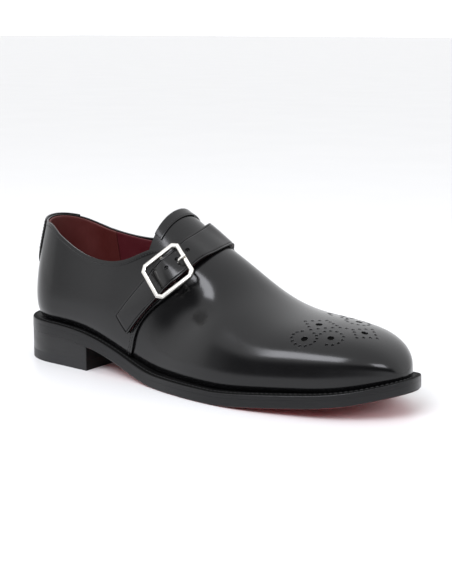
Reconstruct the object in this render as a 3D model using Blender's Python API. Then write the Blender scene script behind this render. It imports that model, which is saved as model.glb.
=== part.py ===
"""Right-foot dress shoe with one buckled strap: welted leather sole, stacked heel, hollow upper.

Metres, +Z up.

The shoe is worked out with the back of its heel at x = 0, the toe along +X, the outer (lateral) side at -Y
and the floor at z = 0. A parent empty then sets the origin under the middle of the whole shoe.
"""
import math

import bmesh
import bpy
import numpy as np

MM = 0.001

# Driving sizes
LENGTH = 296 * MM            # outsole, heel to toe
GAP = 0.3 * MM               # left between pieces that meet
OUTSOLE_THICK = 5.2 * MM
WELT_THICK = 3.0 * MM
WELT_WIDTH = 12 * MM         # from the edge in under the upper
WELT_AT_TOE = 5 * MM         # welt that shows in front of the upper
FEATHER_SHARE = 0.09         # feather line's share of the way across the sole
WALL = 2.0 * MM              # leather with its lining
LAYER = 1.3 * MM             # quarters lapped over the vamp, at their front edge
LAYER_AT_HEEL = 0.3 * MM     # the same leather round the heel, where the last is smaller for it
LAYER_START = 45 * MM
LAYER_FULL = 95 * MM
INSOLE_THICK = 2.6 * MM
INSOLE_INSET = 3.2 * MM      # from the upper's outer face at the feather line
HEEL_BREAST = 72 * MM        # front face of the heel
HEEL_INSET = 0.4 * MM        # heel inside the outsole's edge
TOP_PIECE_THICK = 6.0 * MM
HEEL_HOLLOW = 2.5 * MM       # curve of the breast
HOLLOW_POWER = 6             # how quickly that curve dies out behind it

# Ends of the shoe, where the outline turns round
HEEL_WRAP = 38 * MM
TOE_WRAP = 46 * MM
TOE_DROP = 36 * MM           # length over which the upper comes down at the toe
HEEL_POWER = 2.2
TOE_POWER = 2.4
TOE_DROP_POWER = 2.6

# Outsole: half widths from the axis, and height of its underside at each edge, in mm
SOLE_COLUMNS = ("x", "lateral", "medial", "low_lateral", "low_medial")
SOLE = (
    (0, 34.4, 34.0, 19.6, 19.6),
    (38, 34.4, 34.2, 18.9, 18.9),
    (66, 35.2, 33.0, 16.8, 17.2),
    (100, 37.2, 30.6, 8.6, 11.5),
    (130, 42.2, 32.6, 0.7, 4.6),
    (150, 46.8, 37.0, 0.0, 1.0),
    (165, 49.4, 41.0, 0.0, 0.0),
    (188, 51.4, 46.8, 0.0, 0.0),
    (214, 50.4, 49.6, 2.2, 2.2),
    (245, 43.8, 46.0, 5.3, 5.3),
    (270, 36.8, 40.6, 8.6, 8.6),
    (296, 30.0, 34.0, 15.2, 15.2),
)

# Last: half widths at its belly, tuck under it, belly height, lean of its wall, and shares further up
LAST_COLUMNS = ("x", "lateral", "medial", "tuck", "rise", "lean", "shoulder", "shoulder_high", "crown",
                "crown_high", "top_y", "top_z")
LAST = (
    (0, 32.4, 32.0, 4.5, 17.0, 0.0, 0.81, 0.46, 0.48, 0.86, 0.0, 140.0),
    (38, 32.8, 32.0, 4.5, 17.0, 0.0, 0.81, 0.46, 0.48, 0.86, 0.0, 139.0),
    (70, 33.0, 30.6, 4.0, 17.0, 0.0, 0.82, 0.48, 0.50, 0.87, 0.5, 133.0),
    (102, 35.0, 28.6, 3.5, 17.0, 0.0, 0.85, 0.52, 0.55, 0.89, 1.5, 120.5),
    (132, 39.2, 30.6, 3.5, 16.5, 0.3, 0.875, 0.55, 0.60, 0.90, 3.0, 103.3),
    (147, 42.5, 33.7, 3.5, 16.3, 0.7, 0.88, 0.56, 0.595, 0.895, 3.6, 92.8),
    (162, 45.6, 37.6, 3.5, 16.0, 1.2, 0.88, 0.57, 0.58, 0.89, 4.0, 83.4),
    (192, 48.4, 44.8, 3.8, 15.0, 1.8, 0.89, 0.58, 0.58, 0.89, 4.5, 62.9),
    (214, 47.4, 46.8, 3.6, 14.0, 1.8, 0.90, 0.60, 0.60, 0.89, 4.5, 54.5),
    (245, 41.0, 43.4, 3.0, 13.0, 1.8, 0.91, 0.62, 0.62, 0.91, 4.0, 50.4),
    (270, 34.2, 38.2, 2.4, 12.0, 1.8, 0.92, 0.64, 0.62, 0.92, 3.5, 46.6),
    (291, 28.0, 32.0, 2.0, 10.0, 1.8, 0.92, 0.66, 0.64, 0.93, 3.5, 45.2),
)
SHARES = ("shoulder", "shoulder_high", "crown", "crown_high")

# Lean of the heel's back, and sideways run of the shoe's axis, in mm
BACK_COLUMNS = ("z", "x")
BACK = ((28, 6.8), (40, 4.8), (52, 4.4), (66, 5.8), (80, 8.2), (96, 11.6), (150, 26.0))
AXIS_COLUMNS = ("x", "y")
AXIS = ((0, 0.0), (100, 0.0), (200, 2.2), (296, 4.6))

# Height of the top line on each side: collar back to the tongue, then the quarter's edge over the tongue
TOP_LINE_COLUMNS = ("x", "lateral", "medial")
TOP_LINE = (
    (0, 94.5, 94.5),
    (12, 92.5, 91.6),
    (24, 91.9, 88.2),
    (40, 85.3, 84.8),
    (60, 76.9, 82.2),
    (82, 73.4, 81.8),
    (104, 76.6, 85.2),
    (119, 83.0, 89.0),
    (134, 85.6, 90.6),
    (150, 79.5, 84.0),
)
COLLAR_END = 119 * MM        # where the tongue comes out from under the quarters
QUARTER_END = 150 * MM       # front of the quarters over the instep
TONGUE_BOW = 2.7 * MM        # tongue's top edge, forward in its middle

# Front edge of the quarters: place along the shoe for each girth up from the feather line
QUARTER_COLUMNS = ("girth", "lateral", "medial")
QUARTER = (
    (0.0, 109.0, 107.0),
    (0.35, 113.4, 111.5),
    (1.07, 118.5, 121.0),
    (1.56, 128.4, 131.5),
    (2.0, 141.5, 141.0),
    (2.35, 148.6, 146.2),
    (2.7, 150.8, 149.2),
    (3.3, 149.0, 150.5),
)

# Strap: centre line, half width and thickness at each girth, lateral tip to where it leaves the inner quarter
STRAP_COLUMNS = ("girth", "x", "half", "thick")
STRAP = (
    (0.98, 105.8, 8.0, 2.4),
    (1.25, 111.2, 8.0, 2.4),
    (1.51, 117.2, 8.1, 2.4),
    (1.87, 126.6, 8.4, 2.4),
    (2.20, 134.6, 8.9, 2.4),
    (2.48, 141.0, 9.3, 2.4),
    (2.80, 145.0, 9.2, 2.4),
    (3.20, 147.4, 9.5, 2.1),
    (3.70, 148.2, 9.9, 1.8),
    (4.20, 146.2, 10.0, 1.8),
    (4.70, 142.0, 10.5, 1.9),
    (5.20, 136.0, 11.6, 1.8),
    (5.70, 129.6, 13.8, 1.1),
    (6.10, 123.6, 15.6, 0.6),
)
STRAP_LIFT = 1.75 * MM       # over the vamp's face, clear of the quarters
STRAP_SETTLE = 1.4 * MM      # lower where only the tongue is under it
SETTLE_MIDDLE = 3.85         # girths
SETTLE_REACH = 0.5
STRAP_ARCH = 2.1 * MM        # raised over the buckle's centre bar
STRAP_ARCH_REACH = 8.2 * MM

# Hollow that the strap draws into the vamp in front of it, below the buckle
DIP_X = 155 * MM
DIP_GIRTH = 2.40
DIP_DEEP = 4.6 * MM
DIP_LONG = 11.0 * MM         # reach along it and across it
DIP_WIDE = 7.5 * MM
DIP_TURN = 35.0              # degrees from upright, towards the toe
DIP_SLACK = 2.6 * MM         # shallower round it
DIP_SPREAD = 20.0 * MM

# Buckle: square frame with cut corners on the lateral side, strap under two bars and over a centre bar
BUCKLE_X = 141.4 * MM
BUCKLE_GIRTH = 2.48
BUCKLE_TOP = 6.4 * MM        # frame's face over the vamp's face
BUCKLE_LONG = 14.8 * MM      # half length along the strap
BUCKLE_WIDE = 14.2 * MM      # half width across it
BUCKLE_CORNER = 3.5 * MM
BUCKLE_BAR = 2.6 * MM
BUCKLE_THICK = 2.4 * MM
BUCKLE_EDGE = 0.5 * MM
BUCKLE_TILT = 4.0            # degrees, lower end outwards
PIN_RADIUS = 0.9 * MM
PIN_DEPTH = 3.85 * MM        # centre bar under the frame's face
PRONG_RADIUS = 0.8 * MM
PRONG_ROUTE = ((8.8, -1.0), (9.6, -0.1), (10.4, 1.0), (11.6, 1.35), (13.4, 1.3), (15.2, 1.1))

# Trims: heel tab over the back seam and turned band on the tongue
TAB_HALF = 27.4 * MM         # half the tab's width, round the heel
TAB_LOW = 60.0 * MM          # height of its lower edge at the back seam
TAB_SIDE_RISE = 14.5 * MM    # how much higher that edge is at its sides
TAB_ROUND = 4
TAB_OVER = 0.6 * MM          # over the top line
TAB_THICK = 1.0 * MM
BAND_WIDE = 6.0 * MM
BAND_THICK = 0.6 * MM
BAND_GIRTHS = (2.86, 4.95)

# Facets
QUARTER_ROWS = 10
COLLAR_STATIONS = 22
TONGUE_STATIONS = 5
TONGUE_ROWS = 8
VAMP_STATIONS = 30
SOLE_STATIONS = 44
END_CROWDING = 0.75          # share of the stations' spacing that closes up at heel and toe
SOLE_ROWS = 6
HEEL_STATIONS = 16
STRAP_STATIONS = 44
STRAP_ROWS = 4
WALK_STEPS = 4               # steps from the strap's centre line to its edge
TRIM_STATIONS = 10
TAB_STATIONS = 24
WELD = 0.005 * MM

# Girth of the last, counted in spans of its section curve
GIRTH_MID = 4.0
GIRTH_END = 8.0
CONTROLS = 11
GIRTH_STEP = 0.02            # for slopes round the last
BELLY_START = 0.3            # share of the belly's height where the section turns upright


# Smooth curves and tables

class Curve:
    """Natural cubic spline through one column of a table."""

    def __init__(self, places, values):
        self.places = np.asarray(places, float)
        self.values = np.asarray(values, float)
        count = len(self.places)
        step = np.diff(self.places)
        slope = np.diff(self.values) / step
        matrix = np.eye(count)
        right = np.zeros(count)
        for i in range(1, count - 1):
            matrix[i, i - 1:i + 2] = step[i - 1], 2 * (step[i - 1] + step[i]), step[i]
            right[i] = 6 * (slope[i] - slope[i - 1])
        self.bend = np.linalg.solve(matrix, right)

    def __call__(self, place):
        place = np.asarray(place, float)
        i = np.clip(np.searchsorted(self.places, place) - 1, 0, len(self.places) - 2)
        step = self.places[i + 1] - self.places[i]
        before = (self.places[i + 1] - place) / step
        after = (place - self.places[i]) / step
        straight = before * self.values[i] + after * self.values[i + 1]
        curl = (before ** 3 - before) * self.bend[i] + (after ** 3 - after) * self.bend[i + 1]
        return straight + curl * step ** 2 / 6


def table_curves(columns, rows, unitless=()):
    """One curve for each named column over the first one, from mm to metres."""
    table = np.array(rows, float)
    places = table[:, 0] * (1 if columns[0] in unitless else MM)
    scales = [1 if name in unitless else MM for name in columns]
    return {name: Curve(places, table[:, i] * scales[i]) for i, name in enumerate(columns) if i}


SOLE_AT = table_curves(SOLE_COLUMNS, SOLE)
LAST_AT = table_curves(LAST_COLUMNS, LAST, SHARES)
BACK_AT = table_curves(BACK_COLUMNS, BACK)["x"]
AXIS_AT = table_curves(AXIS_COLUMNS, AXIS)["y"]
TOP_LINE_AT = table_curves(TOP_LINE_COLUMNS, TOP_LINE)
QUARTER_AT = table_curves(QUARTER_COLUMNS, QUARTER, ("girth",))
STRAP_AT = table_curves(STRAP_COLUMNS, STRAP, ("girth",))


# Sole form

def nose(share, power):
    """Width left at a share of the way round an end: 1 where it starts, 0 at the tip."""
    return np.sqrt(np.clip(1 - np.clip(share, 0, 1) ** power, 0, 1))


def sole_half(x, side):
    """Half width of the outsole on the lateral (side -1) or medial (side 1) side of its axis."""
    width = SOLE_AT["lateral"](x) if side < 0 else SOLE_AT["medial"](x)
    heel = nose((HEEL_WRAP - x) / HEEL_WRAP, HEEL_POWER)
    toe = nose((x - (LENGTH - TOE_WRAP)) / TOE_WRAP, TOE_POWER)
    return width * heel * toe


def sole_low(x, side):
    """Height of the outsole's underside at one edge, flat on the floor under the forefoot."""
    return np.maximum(SOLE_AT["low_lateral" if side < 0 else "low_medial"](x), 0)


def sole_under(x, share):
    """Height of the outsole's underside at a share of the way from its lateral to its medial edge."""
    return sole_low(x, -1) * (1 - share) + sole_low(x, 1) * share


def share_across(x, y):
    """Share of the way from the outsole's lateral edge to its medial edge."""
    left = AXIS_AT(x) - sole_half(x, -1)
    right = AXIS_AT(x) + sole_half(x, 1)
    return np.clip((y - left) / np.maximum(right - left, MM), 0, 1)


def feather(x, side):
    """Height of the feather line, where the upper stands on the welt."""
    share = FEATHER_SHARE if side < 0 else 1 - FEATHER_SHARE
    return sole_under(x, share) + OUTSOLE_THICK + WELT_THICK + 2 * GAP


def end_spaced(start, end, count):
    """Places from start to end, closer together round the heel and the toe."""
    turn = np.linspace(0, math.pi, count + 1)
    eased = 0.5 * (1 - np.cos(turn))
    even = turn / math.pi
    return start + (end - start) * (END_CROWDING * eased + (1 - END_CROWDING) * even)


def outline(inset, samples=600):
    """Lateral and medial edges of the outsole moved in by inset: each is (x, y) from heel to toe."""
    x = LENGTH * 0.5 * (1 - np.cos(np.linspace(0, math.pi, samples)))
    edges = []
    for side in (-1, 1):
        y = AXIS_AT(x) + side * sole_half(x, side)
        run = np.gradient(np.stack([x, y], -1), axis=0)
        run /= np.linalg.norm(run, axis=1, keepdims=True)
        inward = np.stack([side * run[:, 1], -side * run[:, 0]], -1)
        inward[0] = (1, 0)
        inward[-1] = (-1, 0)
        edges.append(np.stack([x, y], -1) + inset * inward)
    return edges


# Last: the surface that the vamp's outer face follows

UPPER_END = LENGTH - WELT_AT_TOE
TOE_START = UPPER_END - TOE_WRAP
HEEL_RUN = HEEL_WRAP * math.pi / 2
TOE_RUN = HEEL_RUN + TOE_START - HEEL_WRAP
LAST_RUN = TOE_RUN + TOE_WRAP * math.pi / 2


def place_of(run):
    """Place along the shoe for the run from the heel seam to the toe tip."""
    heel = HEEL_WRAP * (1 - np.cos(np.clip(run, 0, HEEL_RUN) / HEEL_WRAP))
    middle = np.clip(run, HEEL_RUN, TOE_RUN) - HEEL_RUN
    toe = TOE_WRAP * np.sin(np.clip(run - TOE_RUN, 0, LAST_RUN - TOE_RUN) / TOE_WRAP)
    return np.where(run < HEEL_RUN, heel, HEEL_WRAP + middle + toe)


def run_of(x):
    """Run for a place along the shoe, between the heel seam and the toe's turn."""
    heel = HEEL_WRAP * np.arccos(np.clip(1 - x / HEEL_WRAP, -1, 1))
    return np.where(x < HEEL_WRAP, heel, HEEL_RUN + x - HEEL_WRAP)


def blend_weights(girth):
    """Weights of the section's control points: a clamped cubic B-spline over girth 0 to 8."""
    knots = np.concatenate([[0] * 3, np.arange(CONTROLS - 2), [CONTROLS - 3] * 3]).astype(float)
    girth = np.clip(girth, 0, CONTROLS - 3 - 1e-9)
    weights = [((low <= girth) & (girth < high)).astype(float) for low, high in zip(knots, knots[1:])]
    for degree in (1, 2, 3):
        raised = []
        for i in range(len(weights) - 1):
            left = knots[i + degree] - knots[i]
            right = knots[i + degree + 1] - knots[i + 1]
            value = np.zeros_like(girth)
            if left:
                value = value + (girth - knots[i]) / left * weights[i]
            if right:
                value = value + (knots[i + degree + 1] - girth) / right * weights[i + 1]
            raised.append(value)
        weights = raised
    return np.stack(weights, -1)


def section_controls(x):
    """Control points (y from the axis, z) of the section at x, from lateral to medial feather line."""
    at = {name: curve(x) for name, curve in LAST_AT.items()}
    halves = []
    for side, name in ((-1, "lateral"), (1, "medial")):
        low = feather(x, side)
        wide = at[name]
        tall = at["top_z"] - low
        crown_y = side * wide * at["crown"] + at["top_y"] * (1 - at["crown"])
        halves.append([
            (side * (wide - at["tuck"]), low),
            (side * wide, low + BELLY_START * at["rise"]),
            (side * (wide - at["lean"]), low + at["rise"]),
            (side * wide * at["shoulder"], low + tall * at["shoulder_high"]),
            (crown_y, low + tall * at["crown_high"]),
        ])
    ring = halves[0] + [(at["top_y"], at["top_z"])] + halves[1][::-1]
    return np.stack([np.stack(point, -1) for point in ring], -2)


def last_point(run, girth):
    """Point of the last: run along the shoe, girth 0 at the lateral feather line, 4 on top, 8 medial."""
    run, girth = np.broadcast_arrays(np.asarray(run, float), np.asarray(girth, float))
    x = place_of(run)
    section = np.einsum("...k,...kc->...c", blend_weights(girth), section_controls(x))
    low = np.where(girth < GIRTH_MID, feather(x, -1), feather(x, 1))
    heel = np.clip((HEEL_WRAP - x) / HEEL_WRAP, 0, 1)
    toe = (x - TOE_START) / TOE_WRAP
    drop = (x - (UPPER_END - TOE_DROP)) / TOE_DROP
    z = section[..., 1]
    turned = np.where(x < HEEL_WRAP, HEEL_WRAP - (HEEL_WRAP - BACK_AT(z)) * heel, x)
    y = AXIS_AT(x) + section[..., 0] * nose(heel, HEEL_POWER) * nose(toe, TOE_POWER)
    return np.stack([turned, y, low + (z - low) * nose(drop, TOE_DROP_POWER)], -1)


def last_normal(run, girth):
    """Outward normal of the last, level along the feather line so that the wall stands flat on the welt."""
    step, turn = 0.1 * MM, 0.004
    run, girth = np.broadcast_arrays(np.asarray(run, float), np.asarray(girth, float))
    near = np.clip(run, step, LAST_RUN - 5 * step)
    forward = last_point(near + step, girth) - last_point(near - step, girth)
    low, high = np.clip(girth - turn, 0, GIRTH_END), np.clip(girth + turn, 0, GIRTH_END)
    round_ = last_point(near, high) - last_point(near, low)
    normal = np.cross(forward, round_)
    normal[run <= 0, 1] = 0
    normal[(girth <= 0) | (girth >= GIRTH_END), 2] = 0
    normal[run >= LAST_RUN - MM * WELD] = (1, 0, 0)
    return normal / np.linalg.norm(normal, axis=-1, keepdims=True)


def over_last(run, girth, height):
    """Point at a height over the last's surface."""
    return last_point(run, girth) + last_normal(run, girth) * np.asarray(height)[..., None]


def layer_height(run):
    """Height of the quarters' outer face over the last."""
    share = np.clip((place_of(run) - LAYER_START) / (LAYER_FULL - LAYER_START), 0, 1)
    return LAYER_AT_HEEL + (LAYER - LAYER_AT_HEEL) * share ** 2 * (3 - 2 * share)


def girth_at(run, z, side):
    """Girth, counted from one side's feather line, where that side reaches height z."""
    girths = np.linspace(0, GIRTH_MID, 201)
    heights = last_point(run, girths if side < 0 else GIRTH_END - girths)[:, 2]
    return np.interp(z, heights, girths)


# Mesh building

def add_patch(bm, points):
    """Quads over a grid of points."""
    verts = [[bm.verts.new(p) for p in row] for row in points]
    for row, following in zip(verts, verts[1:]):
        for k in range(len(row) - 1):
            bm.faces.new((row[k], following[k], following[k + 1], row[k + 1]))


def finish_mesh(name, patches, material, smooth_angle=40):
    """One closed object from patches whose edges meet."""
    bm = bmesh.new()
    for points in patches:
        add_patch(bm, points)
    bmesh.ops.remove_doubles(bm, verts=bm.verts, dist=WELD)
    flat = [face for face in bm.faces if face.calc_area() < WELD ** 2]
    bmesh.ops.delete(bm, geom=flat, context="FACES")
    bmesh.ops.recalc_face_normals(bm, faces=bm.faces)
    mesh = bpy.data.meshes.new(name)
    bm.to_mesh(mesh)
    bm.free()
    mesh.shade_smooth()
    mesh.set_sharp_from_angle(angle=math.radians(smooth_angle))
    return add_object(name, mesh, material)


def add_object(name, mesh, material):
    """Named object in the shoe's collection, under its origin."""
    mesh.materials.append(material)
    obj = bpy.data.objects.new(name, mesh)
    shoe.objects.link(obj)
    obj.parent = origin
    return obj


def slab(name, run, girth, low, high, material):
    """Closed sheet over the last between two heights, on a grid of runs and girths."""
    under = over_last(run, girth, np.broadcast_to(low, run.shape))
    over = over_last(run, girth, np.broadcast_to(high, run.shape))
    sides = [np.stack([under[0], over[0]]), np.stack([under[-1], over[-1]]),
             np.stack([under[:, 0], over[:, 0]]), np.stack([under[:, -1], over[:, -1]])]
    return finish_mesh(name, [under, over] + sides, material)


def plate(name, edges, places, low, high, material, hollow=0.0):
    """Closed plate between a lateral and a medial edge, with heights given by functions of x and y."""
    lateral, medial = edges
    share = np.linspace(0, 1, SOLE_ROWS + 1)
    left = np.interp(places, lateral[:, 0], lateral[:, 1])
    right = np.interp(places, medial[:, 0], medial[:, 1])
    y = left[:, None] + (right - left)[:, None] * share
    x = np.repeat(places[:, None], len(share), axis=1)
    bowed = x - hollow * (x / places[-1]) ** HOLLOW_POWER * (1 - (2 * share - 1) ** 2)
    layers = [np.stack([bowed, y, level(x, y)], -1) for level in (low, high)]
    ends = [np.stack([layer[i] for layer in layers]) for i in (0, -1)]
    rims = [np.stack([layer[:, j] for layer in layers]) for j in (0, -1)]
    return finish_mesh(name, layers + ends + rims, material)


def sole_level(offset):
    """Height function that follows the outsole's underside."""
    return lambda x, y: sole_under(x, share_across(x, y)) + offset


def flat_level(height):
    """Height function of a level face."""
    return lambda x, y: np.full(x.shape, height)


def plain_material(name, colour, roughness, metallic=0.0):
    """Principled material with one colour."""
    material = bpy.data.materials.new(name)
    material.use_nodes = True
    shader = material.node_tree.nodes["Principled BSDF"]
    shader.inputs["Base Color"].default_value = (*colour, 1)
    shader.inputs["Roughness"].default_value = roughness
    shader.inputs["Metallic"].default_value = metallic
    material.diffuse_color = (*colour, 1)
    return material


# Scene

for old in list(bpy.data.objects):
    bpy.data.objects.remove(old)
shoe = bpy.data.collections.new("buckle_shoe")
cutters = bpy.data.collections.new("cutters")
bpy.context.scene.collection.children.link(shoe)
bpy.context.scene.collection.children.link(cutters)

lateral_edge, medial_edge = outline(0)
origin = bpy.data.objects.new("shoe_origin", None)
origin.location = (-LENGTH / 2, -(lateral_edge[:, 1].min() + medial_edge[:, 1].max()) / 2, 0)
shoe.objects.link(origin)

# Outsole, welt and insole

sole_leather = plain_material("sole_leather", (0.30, 0.02, 0.02), 0.5)
welt_leather = plain_material("welt_leather", (0.012, 0.012, 0.013), 0.35)
insole_leather = plain_material("insole_leather", (0.16, 0.03, 0.025), 0.7)

sole_places = end_spaced(0, LENGTH, SOLE_STATIONS)
plate("outsole", outline(0), sole_places, sole_level(0), sole_level(OUTSOLE_THICK), sole_leather)


def ring_edge(inset, offset):
    """Closed loop of points round the outsole at an inset, at a height over the underside."""
    lateral, medial = outline(inset)
    loops = []
    for edge in (lateral, medial):
        places = end_spaced(edge[0, 0], edge[-1, 0], SOLE_STATIONS)
        y = np.interp(places, edge[:, 0], edge[:, 1])
        loops.append(np.stack([places, y, sole_level(offset)(places, y)], -1))
    return np.concatenate([loops[0], loops[1][-2::-1]])


WELT_LOW = OUTSOLE_THICK + GAP
WELT_HIGH = WELT_LOW + WELT_THICK
welt_rings = [ring_edge(inset, offset) for inset, offset in
              ((GAP, WELT_LOW), (GAP, WELT_HIGH), (WELT_WIDTH, WELT_HIGH), (WELT_WIDTH, WELT_LOW))]
finish_mesh("welt", [np.stack([*welt_rings, welt_rings[0]])], welt_leather)


def insole_edges(samples=400):
    """Lateral and medial edges of the insole, inside the upper at the feather line."""
    run = np.linspace(0, LAST_RUN, samples)
    edges = []
    for girth, side in ((0, -1), (GIRTH_END, 1)):
        edge = last_point(run, np.full(samples, float(girth)))[:, :2]
        along = np.gradient(edge, axis=0)
        along /= np.linalg.norm(along, axis=1, keepdims=True)
        inward = np.stack([side * along[:, 1], -side * along[:, 0]], -1)
        inward[0] = (1, 0)
        inward[-1] = (-1, 0)
        edges.append(edge + INSOLE_INSET * inward)
    return edges


insole_outline = insole_edges()
insole_places = end_spaced(insole_outline[0][0, 0], insole_outline[0][-1, 0], SOLE_STATIONS - 8)
INSOLE_LOW = WELT_HIGH + GAP
plate("insole", insole_outline, insole_places, sole_level(INSOLE_LOW), sole_level(INSOLE_LOW + INSOLE_THICK),
      insole_leather)

# Heel: stacked leather block and the rubber top piece that meets the floor

stack_leather = plain_material("stack_leather", (0.012, 0.012, 0.013), 0.35)
rubber = plain_material("rubber", (0.015, 0.015, 0.016), 0.6)

heel_outline = outline(HEEL_INSET)
heel_start = heel_outline[0][0, 0]
heel_turn = np.linspace(0, math.pi / 2, HEEL_STATIONS + 1)
heel_places = heel_start + (HEEL_BREAST - heel_start) * (1 - np.cos(heel_turn))
plate("heel_stack", heel_outline, heel_places, flat_level(TOP_PIECE_THICK + GAP), sole_level(-GAP),
      stack_leather, HEEL_HOLLOW)
plate("heel_top_piece", heel_outline, heel_places, flat_level(0), flat_level(TOP_PIECE_THICK),
      rubber, HEEL_HOLLOW)

# Upper: one hollow wall of vamp with tongue, and quarters lapped over it as a step

black_calf = plain_material("black_calf", (0.01, 0.01, 0.011), 0.25)


def quarter_grid(side):
    """Runs and girths of one quarter: stations from heel seam to front edge, rows up to the top line."""
    name = "lateral" if side < 0 else "medial"
    end_run = run_of(QUARTER_END)
    collar = run_of(COLLAR_END) / end_run
    stations = np.concatenate([np.linspace(0, collar, COLLAR_STATIONS + 1),
                               np.linspace(collar, 1, TONGUE_STATIONS + 1)[1:]])
    top_runs = stations * end_run
    top = np.array([girth_at(r, TOP_LINE_AT[name](place_of(r)), side) for r in top_runs])
    rows = np.linspace(0, 1, QUARTER_ROWS + 1)
    front = QUARTER_AT[name](rows * top[-1])
    front_run = run_of(front + (QUARTER_END - front[-1]) * rows ** 4)
    return stations[:, None] * front_run, top[:, None] * rows


lateral_run, lateral_girth = quarter_grid(-1)
medial_run, medial_girth = quarter_grid(1)
medial_girth = GIRTH_END - medial_girth

share = np.linspace(0, 1, TONGUE_ROWS + 1)
back = slice(COLLAR_STATIONS, None)
fade = np.linspace(1, 0, TONGUE_STATIONS + 1)[:, None]


def across(lateral, medial):
    """Rows of the tongue between the two quarters' top lines."""
    return lateral[back, -1:] * (1 - share) + medial[back, -1:] * share


tongue_run = across(lateral_run, medial_run) + TONGUE_BOW * fade * 4 * share * (1 - share)
tongue_girth = across(lateral_girth, medial_girth)

start_run = np.concatenate([lateral_run[-1], tongue_run[-1, 1:-1], medial_run[-1, ::-1]])
start_girth = np.concatenate([lateral_girth[-1], tongue_girth[-1, 1:-1], medial_girth[-1, ::-1]])
to_toe = np.linspace(0, 1, VAMP_STATIONS + 1)[:, None]
vamp_run = start_run + (LAST_RUN - start_run) * to_toe
vamp_girth = np.repeat(start_girth[None], VAMP_STATIONS + 1, axis=0)


def level_patch(run, girth, height):
    """Grid of points at one height, or a grid of heights, over the last."""
    return over_last(run, girth, np.broadcast_to(height, run.shape))


def stack_levels(run, girth, heights):
    """Strip between heights along one line of the last."""
    return np.stack([level_patch(run, girth, height) for height in heights])


dip_middle = last_point(run_of(DIP_X), DIP_GIRTH)
dip_ahead = last_point(run_of(DIP_X) + MM, DIP_GIRTH) - dip_middle
dip_ahead = dip_ahead / np.linalg.norm(dip_ahead)
dip_up = np.cross(last_normal(run_of(DIP_X), DIP_GIRTH), dip_ahead)
dip_turn = math.radians(DIP_TURN)
dip_along = math.cos(dip_turn) * dip_up + math.sin(dip_turn) * dip_ahead
dip_across = math.cos(dip_turn) * dip_ahead - math.sin(dip_turn) * dip_up


def vamp_face(run, girth):
    """Height of the vamp's face over the last, below it in the hollow by the strap."""
    away = last_point(run, girth) - dip_middle
    long, wide = away @ dip_along / DIP_LONG, away @ dip_across / DIP_WIDE
    spread = np.linalg.norm(away, axis=-1) / DIP_SPREAD
    return -DIP_DEEP * np.exp(-(long ** 2 + wide ** 2) / 2) - DIP_SLACK * np.exp(-spread ** 2 / 2)


upper = []
for run, girth in ((vamp_run, vamp_girth), (tongue_run, tongue_girth)):
    face = vamp_face(run, girth)
    upper += [level_patch(run, girth, face), level_patch(run, girth, face - WALL)]
for run, girth in ((tongue_run[0], tongue_girth[0]), (vamp_run[:, 0], vamp_girth[:, 0]),
                   (vamp_run[:, -1], vamp_girth[:, -1])):
    face = vamp_face(run, girth)
    upper.append(stack_levels(run, girth, (face - WALL, face)))
for run, girth in ((lateral_run, lateral_girth), (medial_run, medial_girth)):
    layer, face = layer_height(run), vamp_face(run, girth)
    upper += [level_patch(run, girth, layer), level_patch(run, girth, face - WALL)]
    collar = slice(None, COLLAR_STATIONS + 1)
    for edge in ((slice(None), 0), (collar, -1)):
        upper.append(stack_levels(run[edge], girth[edge], (face[edge] - WALL, face[edge], layer[edge])))
    for edge in ((back, -1), (-1, slice(None))):
        upper.append(stack_levels(run[edge], girth[edge], (face[edge], layer[edge])))
finish_mesh("upper", upper, black_calf)

# Trims on the upper: heel tab over the back seam and the tongue's turned band

tab_turn = np.linspace(-1, 1, TAB_STATIONS + 1)
tab_side = np.where(tab_turn < 0, -1, 1)
tab_line = np.abs(tab_turn) * TAB_HALF
tab_low = TAB_LOW + TAB_SIDE_RISE * np.abs(tab_turn) ** TAB_ROUND
tab_high = TAB_OVER + np.where(tab_turn < 0, TOP_LINE_AT["lateral"](place_of(tab_line)),
                               TOP_LINE_AT["medial"](place_of(tab_line)))
tab_heights = tab_low + (tab_high - tab_low) * np.linspace(0, 1, TRIM_STATIONS + 1)[:, None]
tab_run = np.broadcast_to(tab_line, tab_heights.shape)
tab_girth = np.array([[girth_at(r, z, side) for r, z, side in zip(tab_line, row, tab_side)] for row in tab_heights])
tab_girth = np.where(tab_turn < 0, tab_girth, GIRTH_END - tab_girth)
tab_calf = plain_material("tab_calf", (0.012, 0.012, 0.013), 0.3)
slab("heel_tab", tab_run, tab_girth, LAYER_AT_HEEL + GAP, LAYER_AT_HEEL + GAP + TAB_THICK, tab_calf)

band_girth = np.linspace(*BAND_GIRTHS, TRIM_STATIONS + 1)
band_edge = np.interp(band_girth, tongue_girth[0], tongue_run[0])
band_run = band_edge + np.linspace(0, BAND_WIDE, 3)[:, None]
band_calf = plain_material("band_calf", (0.012, 0.012, 0.013), 0.3)
slab("tongue_band", band_run, np.repeat(band_girth[None], 3, axis=0), GAP, GAP + BAND_THICK, band_calf)

# Buckle: where its frame lies, with the strap's direction in it

def strap_run(girth):
    """Run of the strap's centre line."""
    return run_of(STRAP_AT["x"](girth))


def unit(vector):
    """Vector of length 1."""
    return vector / np.linalg.norm(vector, axis=-1, keepdims=True)


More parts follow.
